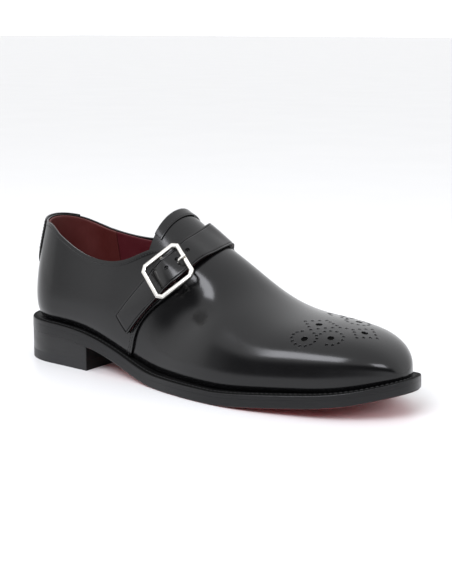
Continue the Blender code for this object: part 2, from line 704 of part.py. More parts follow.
buckle_run = run_of(BUCKLE_X)
buckle_out = last_normal(np.array([buckle_run]), np.array([BUCKLE_GIRTH]))[0]
near_girths = BUCKLE_GIRTH + np.array([-GIRTH_STEP, GIRTH_STEP])
strap_near = last_point(strap_run(near_girths), near_girths)
buckle_up = unit(strap_near[1] - strap_near[0])
buckle_out = unit(buckle_out + math.tan(math.radians(BUCKLE_TILT)) * buckle_up)
buckle_up = unit(buckle_up - buckle_out * (buckle_up @ buckle_out))
buckle_side = np.cross(buckle_out, buckle_up)
buckle_face = over_last(np.array([buckle_run]), np.array([BUCKLE_GIRTH]), np.array([BUCKLE_TOP]))[0]


def in_buckle(up, side, out):
    """Point in the buckle's own directions, from the middle of its face."""
    return buckle_face + up * buckle_up + side * buckle_side + out * buckle_out


# Strap: over the instep, under the frame's two cross bars and over its centre bar

calf_strap = plain_material("calf_strap", (0.01, 0.01, 0.011), 0.25)

strap_girth = np.linspace(STRAP[0][0], STRAP[-1][0], STRAP_STATIONS + 1)
centre_run = strap_run(strap_girth)
centre = last_point(centre_run, strap_girth)
strap_along = unit(np.gradient(centre, axis=0))
row_share = np.linspace(-1, 1, STRAP_ROWS + 1)
strap_runs = np.zeros((STRAP_STATIONS + 1, STRAP_ROWS + 1))
strap_girths = np.zeros_like(strap_runs)
for column, row in enumerate(row_share):
    run, girth = centre_run.copy(), strap_girth.copy()
    walk = row * STRAP_AT["half"](strap_girth) / WALK_STEPS
    for _ in range(WALK_STEPS):
        normal = last_normal(run, girth)
        sideways = unit(np.cross(normal, strap_along)) * walk[:, None]
        by_run = (last_point(run + MM, girth) - last_point(run - MM, girth)) / (2 * MM)
        by_girth = last_point(run, girth + GIRTH_STEP) - last_point(run, girth - GIRTH_STEP)
        by_girth = by_girth / (2 * GIRTH_STEP)
        for i in range(len(run)):
            step = np.linalg.lstsq(np.stack([by_run[i], by_girth[i]], -1), sideways[i], rcond=None)[0]
            run[i] += step[0]
            girth[i] += step[1]
    strap_runs[:, column] = run
    strap_girths[:, column] = girth

from_buckle = (centre - buckle_face) @ buckle_up
arch = STRAP_ARCH * np.exp(-(from_buckle / STRAP_ARCH_REACH) ** 6)
settle = STRAP_SETTLE * np.exp(-((strap_girth - SETTLE_MIDDLE) / SETTLE_REACH) ** 4)
strap_low = (STRAP_LIFT + arch - settle)[:, None]
strap_thick = STRAP_AT["thick"](strap_girth)[:, None]
slab("strap", strap_runs, strap_girths, strap_low, strap_low + strap_thick, calf_strap)

# Buckle frame with its centre bar, and the prong over the upper bar

nickel = plain_material("nickel", (0.72, 0.70, 0.66), 0.22, 1.0)


def frame_loop(inset, corner, out):
    """Eight corners of the frame at an inset from its edge."""
    long, wide = BUCKLE_LONG - inset, BUCKLE_WIDE - inset
    corners = [(long - corner, wide), (long, wide - corner), (long, corner - wide), (long - corner, -wide),
               (corner - long, -wide), (-long, corner - wide), (-long, wide - corner), (corner - long, wide)]
    return np.array([in_buckle(up, side, out) for up, side in corners + corners[:1]])


INNER_CORNER = 0.35 * BUCKLE_CORNER
frame_loops = [
    frame_loop(0, BUCKLE_CORNER, -BUCKLE_THICK),
    frame_loop(0, BUCKLE_CORNER, -BUCKLE_EDGE),
    frame_loop(BUCKLE_EDGE, BUCKLE_CORNER - 0.3 * BUCKLE_EDGE, 0),
    frame_loop(BUCKLE_BAR - BUCKLE_EDGE, INNER_CORNER + 0.3 * BUCKLE_EDGE, 0),
    frame_loop(BUCKLE_BAR, INNER_CORNER, -BUCKLE_EDGE),
    frame_loop(BUCKLE_BAR, INNER_CORNER, -BUCKLE_THICK),
]
buckle = finish_mesh("buckle_frame", [np.stack([*frame_loops, frame_loops[0]])], nickel, 20)


def tube(name, points, radius, material, sides=2):
    """Round wire along points, as a closed mesh object."""
    curve = bpy.data.curves.new(name, "CURVE")
    curve.dimensions = "3D"
    curve.bevel_depth = radius
    curve.bevel_resolution = sides
    curve.use_fill_caps = True
    spline = curve.splines.new("POLY")
    spline.points.add(len(points) - 1)
    for node, point in zip(spline.points, points):
        node.co = (*point, 1)
    wire = bpy.data.objects.new(name, curve)
    shoe.objects.link(wire)
    mesh = bpy.data.meshes.new_from_object(wire.evaluated_get(bpy.context.evaluated_depsgraph_get()))
    bpy.data.objects.remove(wire)
    bm = bmesh.new()
    bm.from_mesh(mesh)
    bmesh.ops.remove_doubles(bm, verts=bm.verts, dist=WELD)
    bmesh.ops.recalc_face_normals(bm, faces=bm.faces)
    bm.to_mesh(mesh)
    bm.free()
    mesh.materials.clear()
    mesh.shade_smooth()
    mesh.set_sharp_from_angle(angle=math.radians(40))
    return add_object(name, mesh, material)


POST = BUCKLE_WIDE - BUCKLE_BAR / 2
pin_route = [in_buckle(0, POST, -BUCKLE_THICK / 2), in_buckle(0, POST, -PIN_DEPTH),
             in_buckle(0, -POST, -PIN_DEPTH), in_buckle(0, -POST, -BUCKLE_THICK / 2)]
pin = tube("buckle_pin", pin_route, PIN_RADIUS, nickel)
shoe.objects.unlink(pin)
cutters.objects.link(pin)
pin.hide_render = True
pin.display_type = "WIRE"
join = buckle.modifiers.new("centre_bar", "BOOLEAN")
join.operation = "UNION"
join.object = pin

prong_nickel = plain_material("prong_nickel", (0.72, 0.70, 0.66), 0.22, 1.0)
tube("buckle_prong", [in_buckle(up * MM, 0, out * MM) for up, out in PRONG_ROUTE], PRONG_RADIUS, prong_nickel)
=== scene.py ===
"""Looks of a right-foot black dress shoe with one buckled strap. Metres, +X to the toe, +Z up."""
import math

import bpy
import numpy as np
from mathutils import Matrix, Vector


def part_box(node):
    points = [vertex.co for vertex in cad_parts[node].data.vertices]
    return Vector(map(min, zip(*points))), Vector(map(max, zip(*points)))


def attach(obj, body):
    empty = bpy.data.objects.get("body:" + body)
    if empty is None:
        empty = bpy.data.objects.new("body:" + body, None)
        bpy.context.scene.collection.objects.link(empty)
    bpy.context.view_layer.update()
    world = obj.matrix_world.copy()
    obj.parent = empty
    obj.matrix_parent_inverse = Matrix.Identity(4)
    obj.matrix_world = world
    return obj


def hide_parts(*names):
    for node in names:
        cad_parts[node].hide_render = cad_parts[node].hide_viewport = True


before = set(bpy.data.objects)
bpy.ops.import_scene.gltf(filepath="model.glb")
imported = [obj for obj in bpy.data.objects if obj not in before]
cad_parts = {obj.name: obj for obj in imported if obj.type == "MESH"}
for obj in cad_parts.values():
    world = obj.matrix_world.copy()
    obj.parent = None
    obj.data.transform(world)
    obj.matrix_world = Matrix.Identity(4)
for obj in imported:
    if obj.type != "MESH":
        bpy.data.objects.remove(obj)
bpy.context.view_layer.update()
MM = 0.001

# Insole with its sock
# A leather board under the foot, covered with dark red sock leather.
# It is cut to the feather line of the last and lies inside the upper, on the welt.

GAP = 0.3 * MM
LENGTH = 296 * MM
OUTSOLE_THICK = 5.2 * MM
WELT_THICK = 3.0 * MM
FEATHER_SHARE = 0.09
HEEL_WRAP = 38 * MM
TOE_WRAP = 46 * MM
HEEL_POWER = 2.2
TOE_POWER = 2.4
SOLE_COLUMNS = ("x", "lateral", "medial", "low_lateral", "low_medial")
SOLE = (
    (0, 34.4, 34.0, 19.6, 19.6),
    (38, 34.4, 34.2, 18.9, 18.9),
    (66, 35.2, 33.0, 16.8, 17.2),
    (100, 37.2, 30.6, 8.6, 11.5),
    (130, 42.2, 32.6, 0.7, 4.6),
    (150, 46.8, 37.0, 0.0, 1.0),
    (165, 49.4, 41.0, 0.0, 0.0),
    (188, 51.4, 46.8, 0.0, 0.0),
    (214, 50.4, 49.6, 2.2, 2.2),
    (245, 43.8, 46.0, 5.3, 5.3),
    (270, 36.8, 40.6, 8.6, 8.6),
    (296, 30.0, 34.0, 15.2, 15.2),
)
AXIS = ((0, 0.0), (100, 0.0), (200, 2.2), (296, 4.6))


class Curve:
    """Natural cubic spline through one column of a table."""

    def __init__(self, places, values):
        self.places = np.asarray(places, float)
        self.values = np.asarray(values, float)
        count = len(self.places)
        step = np.diff(self.places)
        slope = np.diff(self.values) / step
        matrix = np.eye(count)
        right = np.zeros(count)
        for i in range(1, count - 1):
            matrix[i, i - 1:i + 2] = step[i - 1], 2 * (step[i - 1] + step[i]), step[i]
            right[i] = 6 * (slope[i] - slope[i - 1])
        self.bend = np.linalg.solve(matrix, right)

    def __call__(self, place):
        place = np.asarray(place, float)
        i = np.clip(np.searchsorted(self.places, place) - 1, 0, len(self.places) - 2)
        step = self.places[i + 1] - self.places[i]
        before = (self.places[i + 1] - place) / step
        after = (place - self.places[i]) / step
        straight = before * self.values[i] + after * self.values[i + 1]
        curl = (before ** 3 - before) * self.bend[i] + (after ** 3 - after) * self.bend[i + 1]
        return straight + curl * step ** 2 / 6


def table_curves(columns, rows, unitless=()):
    """One curve for each named column over the first one, from mm to metres."""
    table = np.array(rows, float)
    places = table[:, 0] * (1 if columns[0] in unitless else MM)
    scales = [1 if name in unitless else MM for name in columns]
    return {name: Curve(places, table[:, i] * scales[i]) for i, name in enumerate(columns) if i}


SOLE_AT = table_curves(SOLE_COLUMNS, SOLE)
AXIS_AT = table_curves(("x", "y"), AXIS)["y"]


def unit(vector):
    """Vector of length 1."""
    return vector / np.linalg.norm(vector, axis=-1, keepdims=True)


def ends_crowded(share):
    """Shares of a length, closer together at its two ends."""
    return 0.5 * (1 - np.cos(math.pi * share))


def nose(share, power):
    """Width left at a share of the way round an end: 1 where it starts, 0 at the tip."""
    return np.sqrt(np.clip(1 - np.clip(share, 0, 1) ** power, 0, 1))


def sole_half(x, side):
    """Half width of the outsole on the lateral (side -1) or medial (side 1) side of its axis."""
    width = SOLE_AT["lateral"](x) if side < 0 else SOLE_AT["medial"](x)
    heel = nose((HEEL_WRAP - x) / HEEL_WRAP, HEEL_POWER)
    toe = nose((x - (LENGTH - TOE_WRAP)) / TOE_WRAP, TOE_POWER)
    return width * heel * toe


def sole_under(x, share):
    """Height of the outsole's underside at a share of the way from its lateral to its medial edge."""
    lateral = np.maximum(SOLE_AT["low_lateral"](x), 0)
    medial = np.maximum(SOLE_AT["low_medial"](x), 0)
    return lateral * (1 - share) + medial * share


def sole_under_at(x, y):
    """Height of the outsole's underside over a point of the floor."""
    left = AXIS_AT(x) - sole_half(x, -1)
    right = AXIS_AT(x) + sole_half(x, 1)
    return sole_under(x, np.clip((y - left) / np.maximum(right - left, MM), 0, 1))


def outline(inset, samples=900):
    """Lateral and medial edges of the outsole moved in by inset: each is (x, y) from heel to toe."""
    x = LENGTH * ends_crowded(np.linspace(0, 1, samples))
    edges = []
    for side in (-1, 1):
        y = AXIS_AT(x) + side * sole_half(x, side)
        edges.append(inset_edge(np.stack([x, y], -1), side, inset))
    return edges


def inset_edge(edge, side, inset):
    """Plan line moved towards the shoe's axis by inset, square at its two ends."""
    run = unit(np.gradient(edge, axis=0))
    inward = np.stack([side * run[:, 1], -side * run[:, 0]], -1)
    inward[0] = (1, 0)
    inward[-1] = (-1, 0)
    return edge + inset * inward


# The frame's origin lies under the middle of the shoe, and the tables start at the back of the heel.
outsole_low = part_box("outsole")[0]
SHIFT = np.array([outsole_low.x, outsole_low.y - outline(0)[0][:, 1].min(), 0])

LAST_COLUMNS = ("x", "lateral", "medial", "tuck", "rise", "lean", "shoulder", "shoulder_high", "crown",
                "crown_high", "top_y", "top_z")
LAST = (
    (0, 32.4, 32.0, 4.5, 17.0, 0.0, 0.81, 0.46, 0.48, 0.86, 0.0, 140.0),
    (38, 32.8, 32.0, 4.5, 17.0, 0.0, 0.81, 0.46, 0.48, 0.86, 0.0, 139.0),
    (70, 33.0, 30.6, 4.0, 17.0, 0.0, 0.82, 0.48, 0.50, 0.87, 0.5, 133.0),
    (102, 35.0, 28.6, 3.5, 17.0, 0.0, 0.85, 0.52, 0.55, 0.89, 1.5, 120.5),
    (132, 39.2, 30.6, 3.5, 16.5, 0.3, 0.875, 0.55, 0.60, 0.90, 3.0, 103.3),
    (147, 42.5, 33.7, 3.5, 16.3, 0.7, 0.88, 0.56, 0.595, 0.895, 3.6, 92.8),
    (162, 45.6, 37.6, 3.5, 16.0, 1.2, 0.88, 0.57, 0.58, 0.89, 4.0, 83.4),
    (192, 48.4, 44.8, 3.8, 15.0, 1.8, 0.89, 0.58, 0.58, 0.89, 4.5, 62.9),
    (214, 47.4, 46.8, 3.6, 14.0, 1.8, 0.90, 0.60, 0.60, 0.89, 4.5, 54.5),
    (245, 41.0, 43.4, 3.0, 13.0, 1.8, 0.91, 0.62, 0.62, 0.91, 4.0, 50.4),
    (270, 34.2, 38.2, 2.4, 12.0, 1.8, 0.92, 0.64, 0.62, 0.92, 3.5, 46.6),
    (291, 28.0, 32.0, 2.0, 10.0, 1.8, 0.92, 0.66, 0.64, 0.93, 3.5, 45.2),
)
LAST_SHARES = ("shoulder", "shoulder_high", "crown", "crown_high")
BACK = ((28, 6.8), (40, 4.8), (52, 4.4), (66, 5.8), (80, 8.2), (96, 11.6), (150, 26.0))
WELT_AT_TOE = 5 * MM
TOE_DROP = 36 * MM
TOE_DROP_POWER = 2.6
BELLY_START = 0.3
GIRTH_MID = 4.0
GIRTH_END = 8.0
CONTROLS = 11
NORMAL_STEP = 0.1 * MM
NORMAL_TURN = 0.004
TINY = 1e-8
LAST_AT = table_curves(LAST_COLUMNS, LAST, LAST_SHARES)
BACK_AT = table_curves(("z", "x"), BACK)["x"]
UPPER_END = LENGTH - WELT_AT_TOE
TOE_START = UPPER_END - TOE_WRAP
HEEL_RUN = HEEL_WRAP * math.pi / 2
TOE_RUN = HEEL_RUN + TOE_START - HEEL_WRAP
LAST_RUN = TOE_RUN + TOE_WRAP * math.pi / 2


def place_of(run):
    """Place along the shoe for the run from the heel seam to the toe tip."""
    heel = HEEL_WRAP * (1 - np.cos(np.clip(run, 0, HEEL_RUN) / HEEL_WRAP))
    middle = np.clip(run, HEEL_RUN, TOE_RUN) - HEEL_RUN
    toe = TOE_WRAP * np.sin(np.clip(run - TOE_RUN, 0, LAST_RUN - TOE_RUN) / TOE_WRAP)
    return np.where(run < HEEL_RUN, heel, HEEL_WRAP + middle + toe)


def run_of(x):
    """Run for a place along the shoe."""
    heel = HEEL_WRAP * np.arccos(np.clip(1 - x / HEEL_WRAP, -1, 1))
    toe = TOE_RUN + TOE_WRAP * np.arcsin(np.clip((x - TOE_START) / TOE_WRAP, 0, 1))
    return np.where(x < HEEL_WRAP, heel, np.where(x > TOE_START, toe, HEEL_RUN + x - HEEL_WRAP))


def feather(x, side):
    """Height of the feather line, where the upper stands on the welt."""
    share = FEATHER_SHARE if side < 0 else 1 - FEATHER_SHARE
    return sole_under(x, share) + OUTSOLE_THICK + WELT_THICK + 2 * GAP


def blend_weights(girth):
    """Weights of the section's control points: a clamped cubic B-spline over girth 0 to 8."""
    knots = np.concatenate([[0] * 3, np.arange(CONTROLS - 2), [CONTROLS - 3] * 3]).astype(float)
    girth = np.clip(girth, 0, CONTROLS - 3 - TINY)
    weights = [((low <= girth) & (girth < high)).astype(float) for low, high in zip(knots, knots[1:])]
    for degree in (1, 2, 3):
        raised = []
        for i in range(len(weights) - 1):
            left = knots[i + degree] - knots[i]
            right = knots[i + degree + 1] - knots[i + 1]
            value = np.zeros_like(girth)
            if left:
                value = value + (girth - knots[i]) / left * weights[i]
            if right:
                value = value + (knots[i + degree + 1] - girth) / right * weights[i + 1]
            raised.append(value)
        weights = raised
    return np.stack(weights, -1)


def section_controls(x):
    """Control points (y from the axis, z) of the last's section at x, lateral to medial feather line."""
    at = {name: curve(x) for name, curve in LAST_AT.items()}
    halves = []
    for side, name in ((-1, "lateral"), (1, "medial")):
        low = feather(x, side)
        wide = at[name]
        tall = at["top_z"] - low
        crown_y = side * wide * at["crown"] + at["top_y"] * (1 - at["crown"])
        halves.append([
            (side * (wide - at["tuck"]), low),
            (side * wide, low + BELLY_START * at["rise"]),
            (side * (wide - at["lean"]), low + at["rise"]),
            (side * wide * at["shoulder"], low + tall * at["shoulder_high"]),
            (crown_y, low + tall * at["crown_high"]),
        ])
    ring = halves[0] + [(at["top_y"], at["top_z"])] + halves[1][::-1]
    return np.stack([np.stack(point, -1) for point in ring], -2)


def last_point(run, girth):
    """Point of the last: run along it, girth from 0 at the lateral feather line to 8 at the medial one."""
    run, girth = np.broadcast_arrays(np.asarray(run, float), np.asarray(girth, float))
    x = place_of(run)
    section = np.einsum("...k,...kc->...c", blend_weights(girth), section_controls(x))
    low = np.where(girth < GIRTH_MID, feather(x, -1), feather(x, 1))
    heel = np.clip((HEEL_WRAP - x) / HEEL_WRAP, 0, 1)
    toe = (x - TOE_START) / TOE_WRAP
    drop = (x - (UPPER_END - TOE_DROP)) / TOE_DROP
    z = section[..., 1]
    turned = np.where(x < HEEL_WRAP, HEEL_WRAP - (HEEL_WRAP - BACK_AT(z)) * heel, x)
    y = AXIS_AT(x) + section[..., 0] * nose(heel, HEEL_POWER) * nose(toe, TOE_POWER)
    return np.stack([turned, y, low + (z - low) * nose(drop, TOE_DROP_POWER)], -1) + SHIFT


def last_normal(run, girth):
    """Outward normal of the last, level along the feather line."""
    run, girth = np.broadcast_arrays(np.asarray(run, float), np.asarray(girth, float))
    near = np.clip(run, NORMAL_STEP, LAST_RUN - 5 * NORMAL_STEP)
    forward = last_point(near + NORMAL_STEP, girth) - last_point(near - NORMAL_STEP, girth)
    low, high = [np.clip(girth + turn, 0, GIRTH_END) for turn in (-NORMAL_TURN, NORMAL_TURN)]
    normal = np.cross(forward, last_point(near, high) - last_point(near, low))
    normal[run <= 0, 1] = 0
    normal[(girth <= 0) | (girth >= GIRTH_END), 2] = 0
    normal[run >= LAST_RUN - TINY] = (1, 0, 0)
    return unit(normal)


def over_last(run, girth, height):
    """Point at a height over the last's surface."""
    run, girth, height = np.broadcast_arrays(run, girth, height)
    return last_point(run, girth) + last_normal(run, girth) * height[..., None]


def values_of(items, name, width):
    """One property of a mesh's items as an array with a row for each."""
    values = np.empty(len(items) * width)
    items.foreach_get(name, values)
    return values.reshape(-1, width)


def add_sheet(name, grid, place):
    """Grid piece with its points put in place by place(a, b), a along and b across, both from 0 to 1."""
    bpy.ops.object.select_all(action="DESELECT")
    bpy.ops.mesh.primitive_grid_add(x_subdivisions=grid[0], y_subdivisions=grid[1], size=1, calc_uvs=True)
    piece = bpy.context.object
    piece.name = name
    piece.data.name = name
    share = np.clip(values_of(piece.data.vertices, "co", 3)[:, :2] + 0.5, 0, 1)
    piece.data.vertices.foreach_set("co", place(share[:, 0], share[:, 1]).ravel())
    piece.data.update()
    return piece


def weld(piece, distance=0.004 * MM):
    """Closes seams and poles of a piece."""
    bpy.ops.object.mode_set(mode="EDIT")
    bpy.ops.mesh.select_all(action="SELECT")
    bpy.ops.mesh.remove_doubles(threshold=distance)
    bpy.ops.object.mode_set(mode="OBJECT")


def face_out(piece):
    """Turns the faces of a closed piece outwards, by the sign of the volume they hold."""
    bpy.ops.object.mode_set(mode="EDIT")
    bpy.ops.mesh.select_all(action="SELECT")
    bpy.ops.mesh.normals_make_consistent(inside=False)
    bpy.ops.object.mode_set(mode="OBJECT")
    if sum(face.center.dot(face.normal) * face.area for face in piece.data.polygons) < 0:
        bpy.ops.object.mode_set(mode="EDIT")
        bpy.ops.mesh.flip_normals()
        bpy.ops.object.mode_set(mode="OBJECT")


def apply_modifier(piece, kind, **settings):
    """Adds a modifier with its settings and applies it."""
    bpy.context.view_layer.objects.active = piece
    modifier = piece.modifiers.new(kind.title(), kind)
    for key, value in settings.items():
        setattr(modifier, key, value)
    bpy.ops.object.modifier_apply(modifier=modifier.name)


def round_edges(piece, width, segments=3, angle=50):
    """Bevels the sharp edges of a piece and shades it smooth."""
    apply_modifier(piece, "BEVEL", width=width, segments=segments, limit_method="ANGLE",
                   angle_limit=math.radians(angle), use_clamp_overlap=True)
    smooth(piece)


def smooth(piece, angle=60):
    """Smooth shading, sharp past an angle."""
    bpy.ops.object.select_all(action="DESELECT")
    piece.select_set(True)
    bpy.context.view_layer.objects.active = piece
    bpy.ops.object.shade_smooth_by_angle(angle=math.radians(angle))


def add_plate(name, edges, grid, low, thick):
    """Closed plate between a lateral and a medial plan edge, its underside given by low(x, y)."""
    lateral, medial = edges
    start, end = lateral[0, 0], lateral[-1, 0]

    def place(a, b):
        x = start + (end - start) * ends_crowded(a)
        left = np.interp(x, lateral[:, 0], lateral[:, 1])
        right = np.interp(x, medial[:, 0], medial[:, 1])
        y = left + (right - left) * b
        return np.stack([x, y, low(x, y)], -1) + SHIFT

    piece = add_sheet(name, grid, place)
    weld(piece)
    apply_modifier(piece, "SOLIDIFY", thickness=thick, offset=1)
    face_out(piece)
    return piece


PORE_EDGE = 0.35
CLOUD_RELIEF = 0.8
CLOUD_SPREAD = (0.3, 0.7)


def add_material(name, **settings):
    """Node material with its shader's settings, and object coordinates for its textures."""
    material = bpy.data.materials.new(name)
    material.use_nodes = True
    tree = material.node_tree
    shader = tree.nodes["Principled BSDF"]
    for key, value in settings.items():
        shader.inputs[key.replace("_", " ")].default_value = value
    return material, tree, shader, add_node(tree, "ShaderNodeTexCoord").outputs["Object"]


def add_node(tree, kind, settings=None, **inputs):
    """Node with its settings and inputs; an input may be a value or another node's output socket."""
    node = tree.nodes.new(kind)
    for key, value in (settings or {}).items():
        setattr(node, key, value)
    for key, value in inputs.items():
        socket = node.inputs[int(key[1:])] if key[0] == "_" else node.inputs[key.replace("_", " ")]
        if isinstance(value, bpy.types.NodeSocket):
            tree.links.new(value, socket)
        else:
            socket.default_value = value
    return node


def shade(tree, shader, colours, rough, relief, spread=CLOUD_SPREAD, strength=1.0):
    """Two mixed colours, a range of roughness and a relief in metres, each led by a node's output."""
    by, dark, light = colours
    colour = add_node(tree, "ShaderNodeMix", {"data_type": "RGBA"}, _0=by, _6=(*dark, 1), _7=(*light, 1))
    by, least, most = rough
    gloss = add_node(tree, "ShaderNodeMapRange", None, Value=by, From_Min=spread[0], From_Max=spread[1],
                     To_Min=least, To_Max=most)
    by, deep = relief
    bump = add_node(tree, "ShaderNodeBump", None, Height=by, Strength=strength, Distance=deep)
    tree.links.new(colour.outputs[2], shader.inputs["Base Color"])
    tree.links.new(gloss.outputs[0], shader.inputs["Roughness"])
    tree.links.new(bump.outputs[0], shader.inputs["Normal"])


def leather_group():
    """Fine pores and soft unevenness of a leather face: Height for relief, Cloud for colour and gloss."""
    group = bpy.data.node_groups.new("leather_face", "ShaderNodeTree")
    for label, kind in (("Vector", "Vector"), ("Pores", "Float"), ("Clouds", "Float")):
        group.interface.new_socket(label, in_out="INPUT", socket_type="NodeSocket" + kind)
    for label in ("Height", "Cloud"):
        group.interface.new_socket(label, in_out="OUTPUT", socket_type="NodeSocketFloat")
    given = group.nodes.new("NodeGroupInput")
    result = group.nodes.new("NodeGroupOutput")
    pores = add_node(group, "ShaderNodeTexVoronoi", {"feature": "F1"}, Vector=given.outputs["Vector"],
                     Scale=given.outputs["Pores"])
    ramp = add_node(group, "ShaderNodeMapRange", None, Value=pores.outputs["Distance"], From_Max=PORE_EDGE)
    clouds = add_node(group, "ShaderNodeTexNoise", None, Vector=given.outputs["Vector"],
                      Scale=given.outputs["Clouds"], Detail=4.0, Roughness=0.6)
    swell = add_node(group, "ShaderNodeMath", {"operation": "MULTIPLY_ADD"}, _0=clouds.outputs["Fac"],
                     _1=CLOUD_RELIEF, _2=ramp.outputs["Result"])
    group.links.new(swell.outputs[0], result.inputs["Height"])
    group.links.new(clouds.outputs["Fac"], result.inputs["Cloud"])
    return group


LEATHER_FACE = leather_group()


def leather(name, dark, light, rough, pores=1500, clouds=90, bump=0.05 * MM, specular=0.5):
    """Leather finish: two near colours, roughness range, pore and cloud scales, depth of relief in metres."""
    material, tree, shader, where = add_material(name, Specular_IOR_Level=specular)
    face = add_node(tree, "ShaderNodeGroup", {"node_tree": LEATHER_FACE}, Vector=where, Pores=pores,
                    Clouds=clouds)
    cloud = face.outputs["Cloud"]
    shade(tree, shader, (cloud, dark, light), (cloud, *rough), (face.outputs["Height"], bump))
    return material


INSOLE_THICK = 2.6 * MM
INSOLE_INSET = 3.2 * MM
INSOLE_EDGE = 0.8 * MM
INSOLE_GRID = (120, 20)
SOCK_RED = (0.05, 0.006, 0.006)
SOCK_LIGHT = (0.08, 0.01, 0.01)


def insole_edges(samples=500):
    """Lateral and medial plan edges of the insole, inside the upper at the feather line."""
    run = np.linspace(0, LAST_RUN, samples)
    edges = []
    for girth, side in ((0.0, -1), (GIRTH_END, 1)):
        edge = (last_point(run, np.full(samples, girth)) - SHIFT)[:, :2]
        edges.append(inset_edge(edge, side, INSOLE_INSET))
    return edges


INSOLE_LOW = OUTSOLE_THICK + WELT_THICK + 2 * GAP
insole = add_plate("insole_sock", insole_edges(), INSOLE_GRID, lambda x, y: sole_under_at(x, y) + INSOLE_LOW,
                   INSOLE_THICK)
round_edges(insole, INSOLE_EDGE)
insole.data.materials.append(leather("sock_leather", SOCK_RED, SOCK_LIGHT, (0.5, 0.65), pores=900, clouds=60,
                                     bump=0.08 * MM))
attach(insole, "root")
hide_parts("insole")

# Vamp with its tongue
# One piece of polished black calf, pulled over the last from the toe to under the quarters, lined in red.
# The toe carries a medallion: round holes punched through the calf in petals and diamonds before lasting.

WALL = 2.0 * MM
COLLAR_END = 119 * MM
QUARTER_END = 150 * MM
UNDERLAP = 9 * MM
TONGUE_BOW = 2.7 * MM
QUARTER_COLUMNS = ("girth", "lateral", "medial")
QUARTER = (
    (0.0, 109.0, 107.0),
    (0.35, 113.4, 111.5),
    (1.07, 118.5, 121.0),
    (1.56, 128.4, 131.5),
    (2.0, 141.5, 141.0),
    (2.35, 148.6, 146.2),
    (2.7, 150.8, 149.2),
    (3.3, 149.0, 150.5),
)
QUARTER_AT = table_curves(QUARTER_COLUMNS, QUARTER, ("girth",))
TONGUE_GIRTHS = (2.15, 2.5, 5.25, 5.7)
QUARTER_TOP = 3
VAMP_GRID = (156, 138)


def eased(share):
    """Share from 0 to 1 that starts and ends softly."""
    share = np.clip(share, 0, 1)
    return share * share * (3 - 2 * share)


def vamp_start(girth):
    """Place where the vamp begins: under the quarters, and at the tongue's top edge between them."""
    lateral = QUARTER_AT["lateral"](np.clip(girth, 0, QUARTER_TOP)) - UNDERLAP
    medial = QUARTER_AT["medial"](np.clip(GIRTH_END - girth, 0, QUARTER_TOP)) - UNDERLAP
    low = np.where(girth < GIRTH_MID, lateral, medial)
    left, left_full, right_full, right = TONGUE_GIRTHS
    rise = np.clip((girth - left) / (left_full - left), 0, 1)
    rise = eased(rise * np.clip((right - girth) / (right - right_full), 0, 1))
    middle = np.clip((girth - left_full) / (right_full - left_full), 0, 1)
    edge = COLLAR_END + TONGUE_BOW * 4 * middle * (1 - middle)
    return low + (edge - low) * rise


def vamp_place(a, b):
    """Point of the vamp's outer face: a from its start to the toe, b round the last."""
    girth = GIRTH_END * b
    start = run_of(vamp_start(girth))
    return start + (LAST_RUN - start) * a, girth


# Medallion in millimetres from its own middle: a to the toe, b to each side
MEDALLION_X = 247.0 * MM
MEDALLION_Y = -0.5 * MM
MEDALLION_TURN = math.radians(6.4)
PETALS = (
    # large hole's a and b, ring's middle from it, ring's radii, holes in it, first angle, sweep
    (-9.8, 23.4, -0.6, -0.9, 7.8, 5.9, 13, -123, -301),
    (4.4, 17.5, -0.3, -1.1, 7.2, 6.9, 10, -180, 265),
)
DIAMONDS = (
    # large hole, then the back, outer, front and inner corners, and the spaces on a back and on a front side
    ((-10.0, -5.8), ((-19.6, -5.2), (-10.8, -14.3), (2.5, -2.9), (-9.6, 3.1)), 3, 4),
    ((17.0, 0.5), ((9.9, -0.6), (16.7, -8.7), (24.9, 1.2), (16.9, 10.4)), 3, 3),
)
LINK_HOLE = (6.2, -1.6)
SMALL_HOLE = 0.78 * MM
LARGE_HOLE = 1.9 * MM
HOLE_DEPTH = 0.9 * MM
HOLE_WALL = 0.2 * MM
HOLE_LIP = 0.05 * MM
HOLE_REACHES = (1.5 * MM, 0.9 * MM, 0.5 * MM)
MEDALLION_GIRTHS = (1.5, 6.5)
LINE_SAMPLES = 400


def medallion_holes():
    """Plan points in millimetres from the medallion's middle, with the radius of each hole."""
    holes = [(*LINK_HOLE, SMALL_HOLE)]
    for a, b, ring_a, ring_b, along, across, count, first, sweep in PETALS:
        for side in (-1, 1):
            holes.append((a, side * b, LARGE_HOLE))
            for k in range(count):
                turn = math.radians(first + sweep * k / (count - 1))
                holes.append((a + ring_a + along * math.cos(turn),
                              side * (b + ring_b + across * math.sin(turn)), SMALL_HOLE))
    for middle, corners, back_count, front_count in DIAMONDS:
        holes.append((*middle, LARGE_HOLE))
        counts = (back_count, front_count, front_count, back_count)
        for (a0, b0), (a1, b1), count in zip(corners, corners[1:] + corners[:1], counts):
            for k in range(count):
                share = k / count
                holes.append((a0 + (a1 - a0) * share, b0 + (b1 - b0) * share, SMALL_HOLE))
    return holes


def on_last(x, y):
    """Point of the last's upper face over a plan point in shoe coordinates."""
    girths = np.linspace(*MEDALLION_GIRTHS, LINE_SAMPLES)
    run = run_of(x)
    line = last_point(np.full(girths.shape, run), girths) - SHIFT
    return last_point(run, np.interp(y, line[:, 1], girths))


hole_points = []
hole_radii = []
for a, b, radius in medallion_holes():
    x = MEDALLION_X + MM * (a * math.cos(MEDALLION_TURN) - b * math.sin(MEDALLION_TURN))
    y = MEDALLION_Y + MM * (a * math.sin(MEDALLION_TURN) + b * math.cos(MEDALLION_TURN))
    hole_points.append(on_last(x, y))
    hole_radii.append(radius)
hole_points = np.array(hole_points)
hole_radii = np.array(hole_radii)


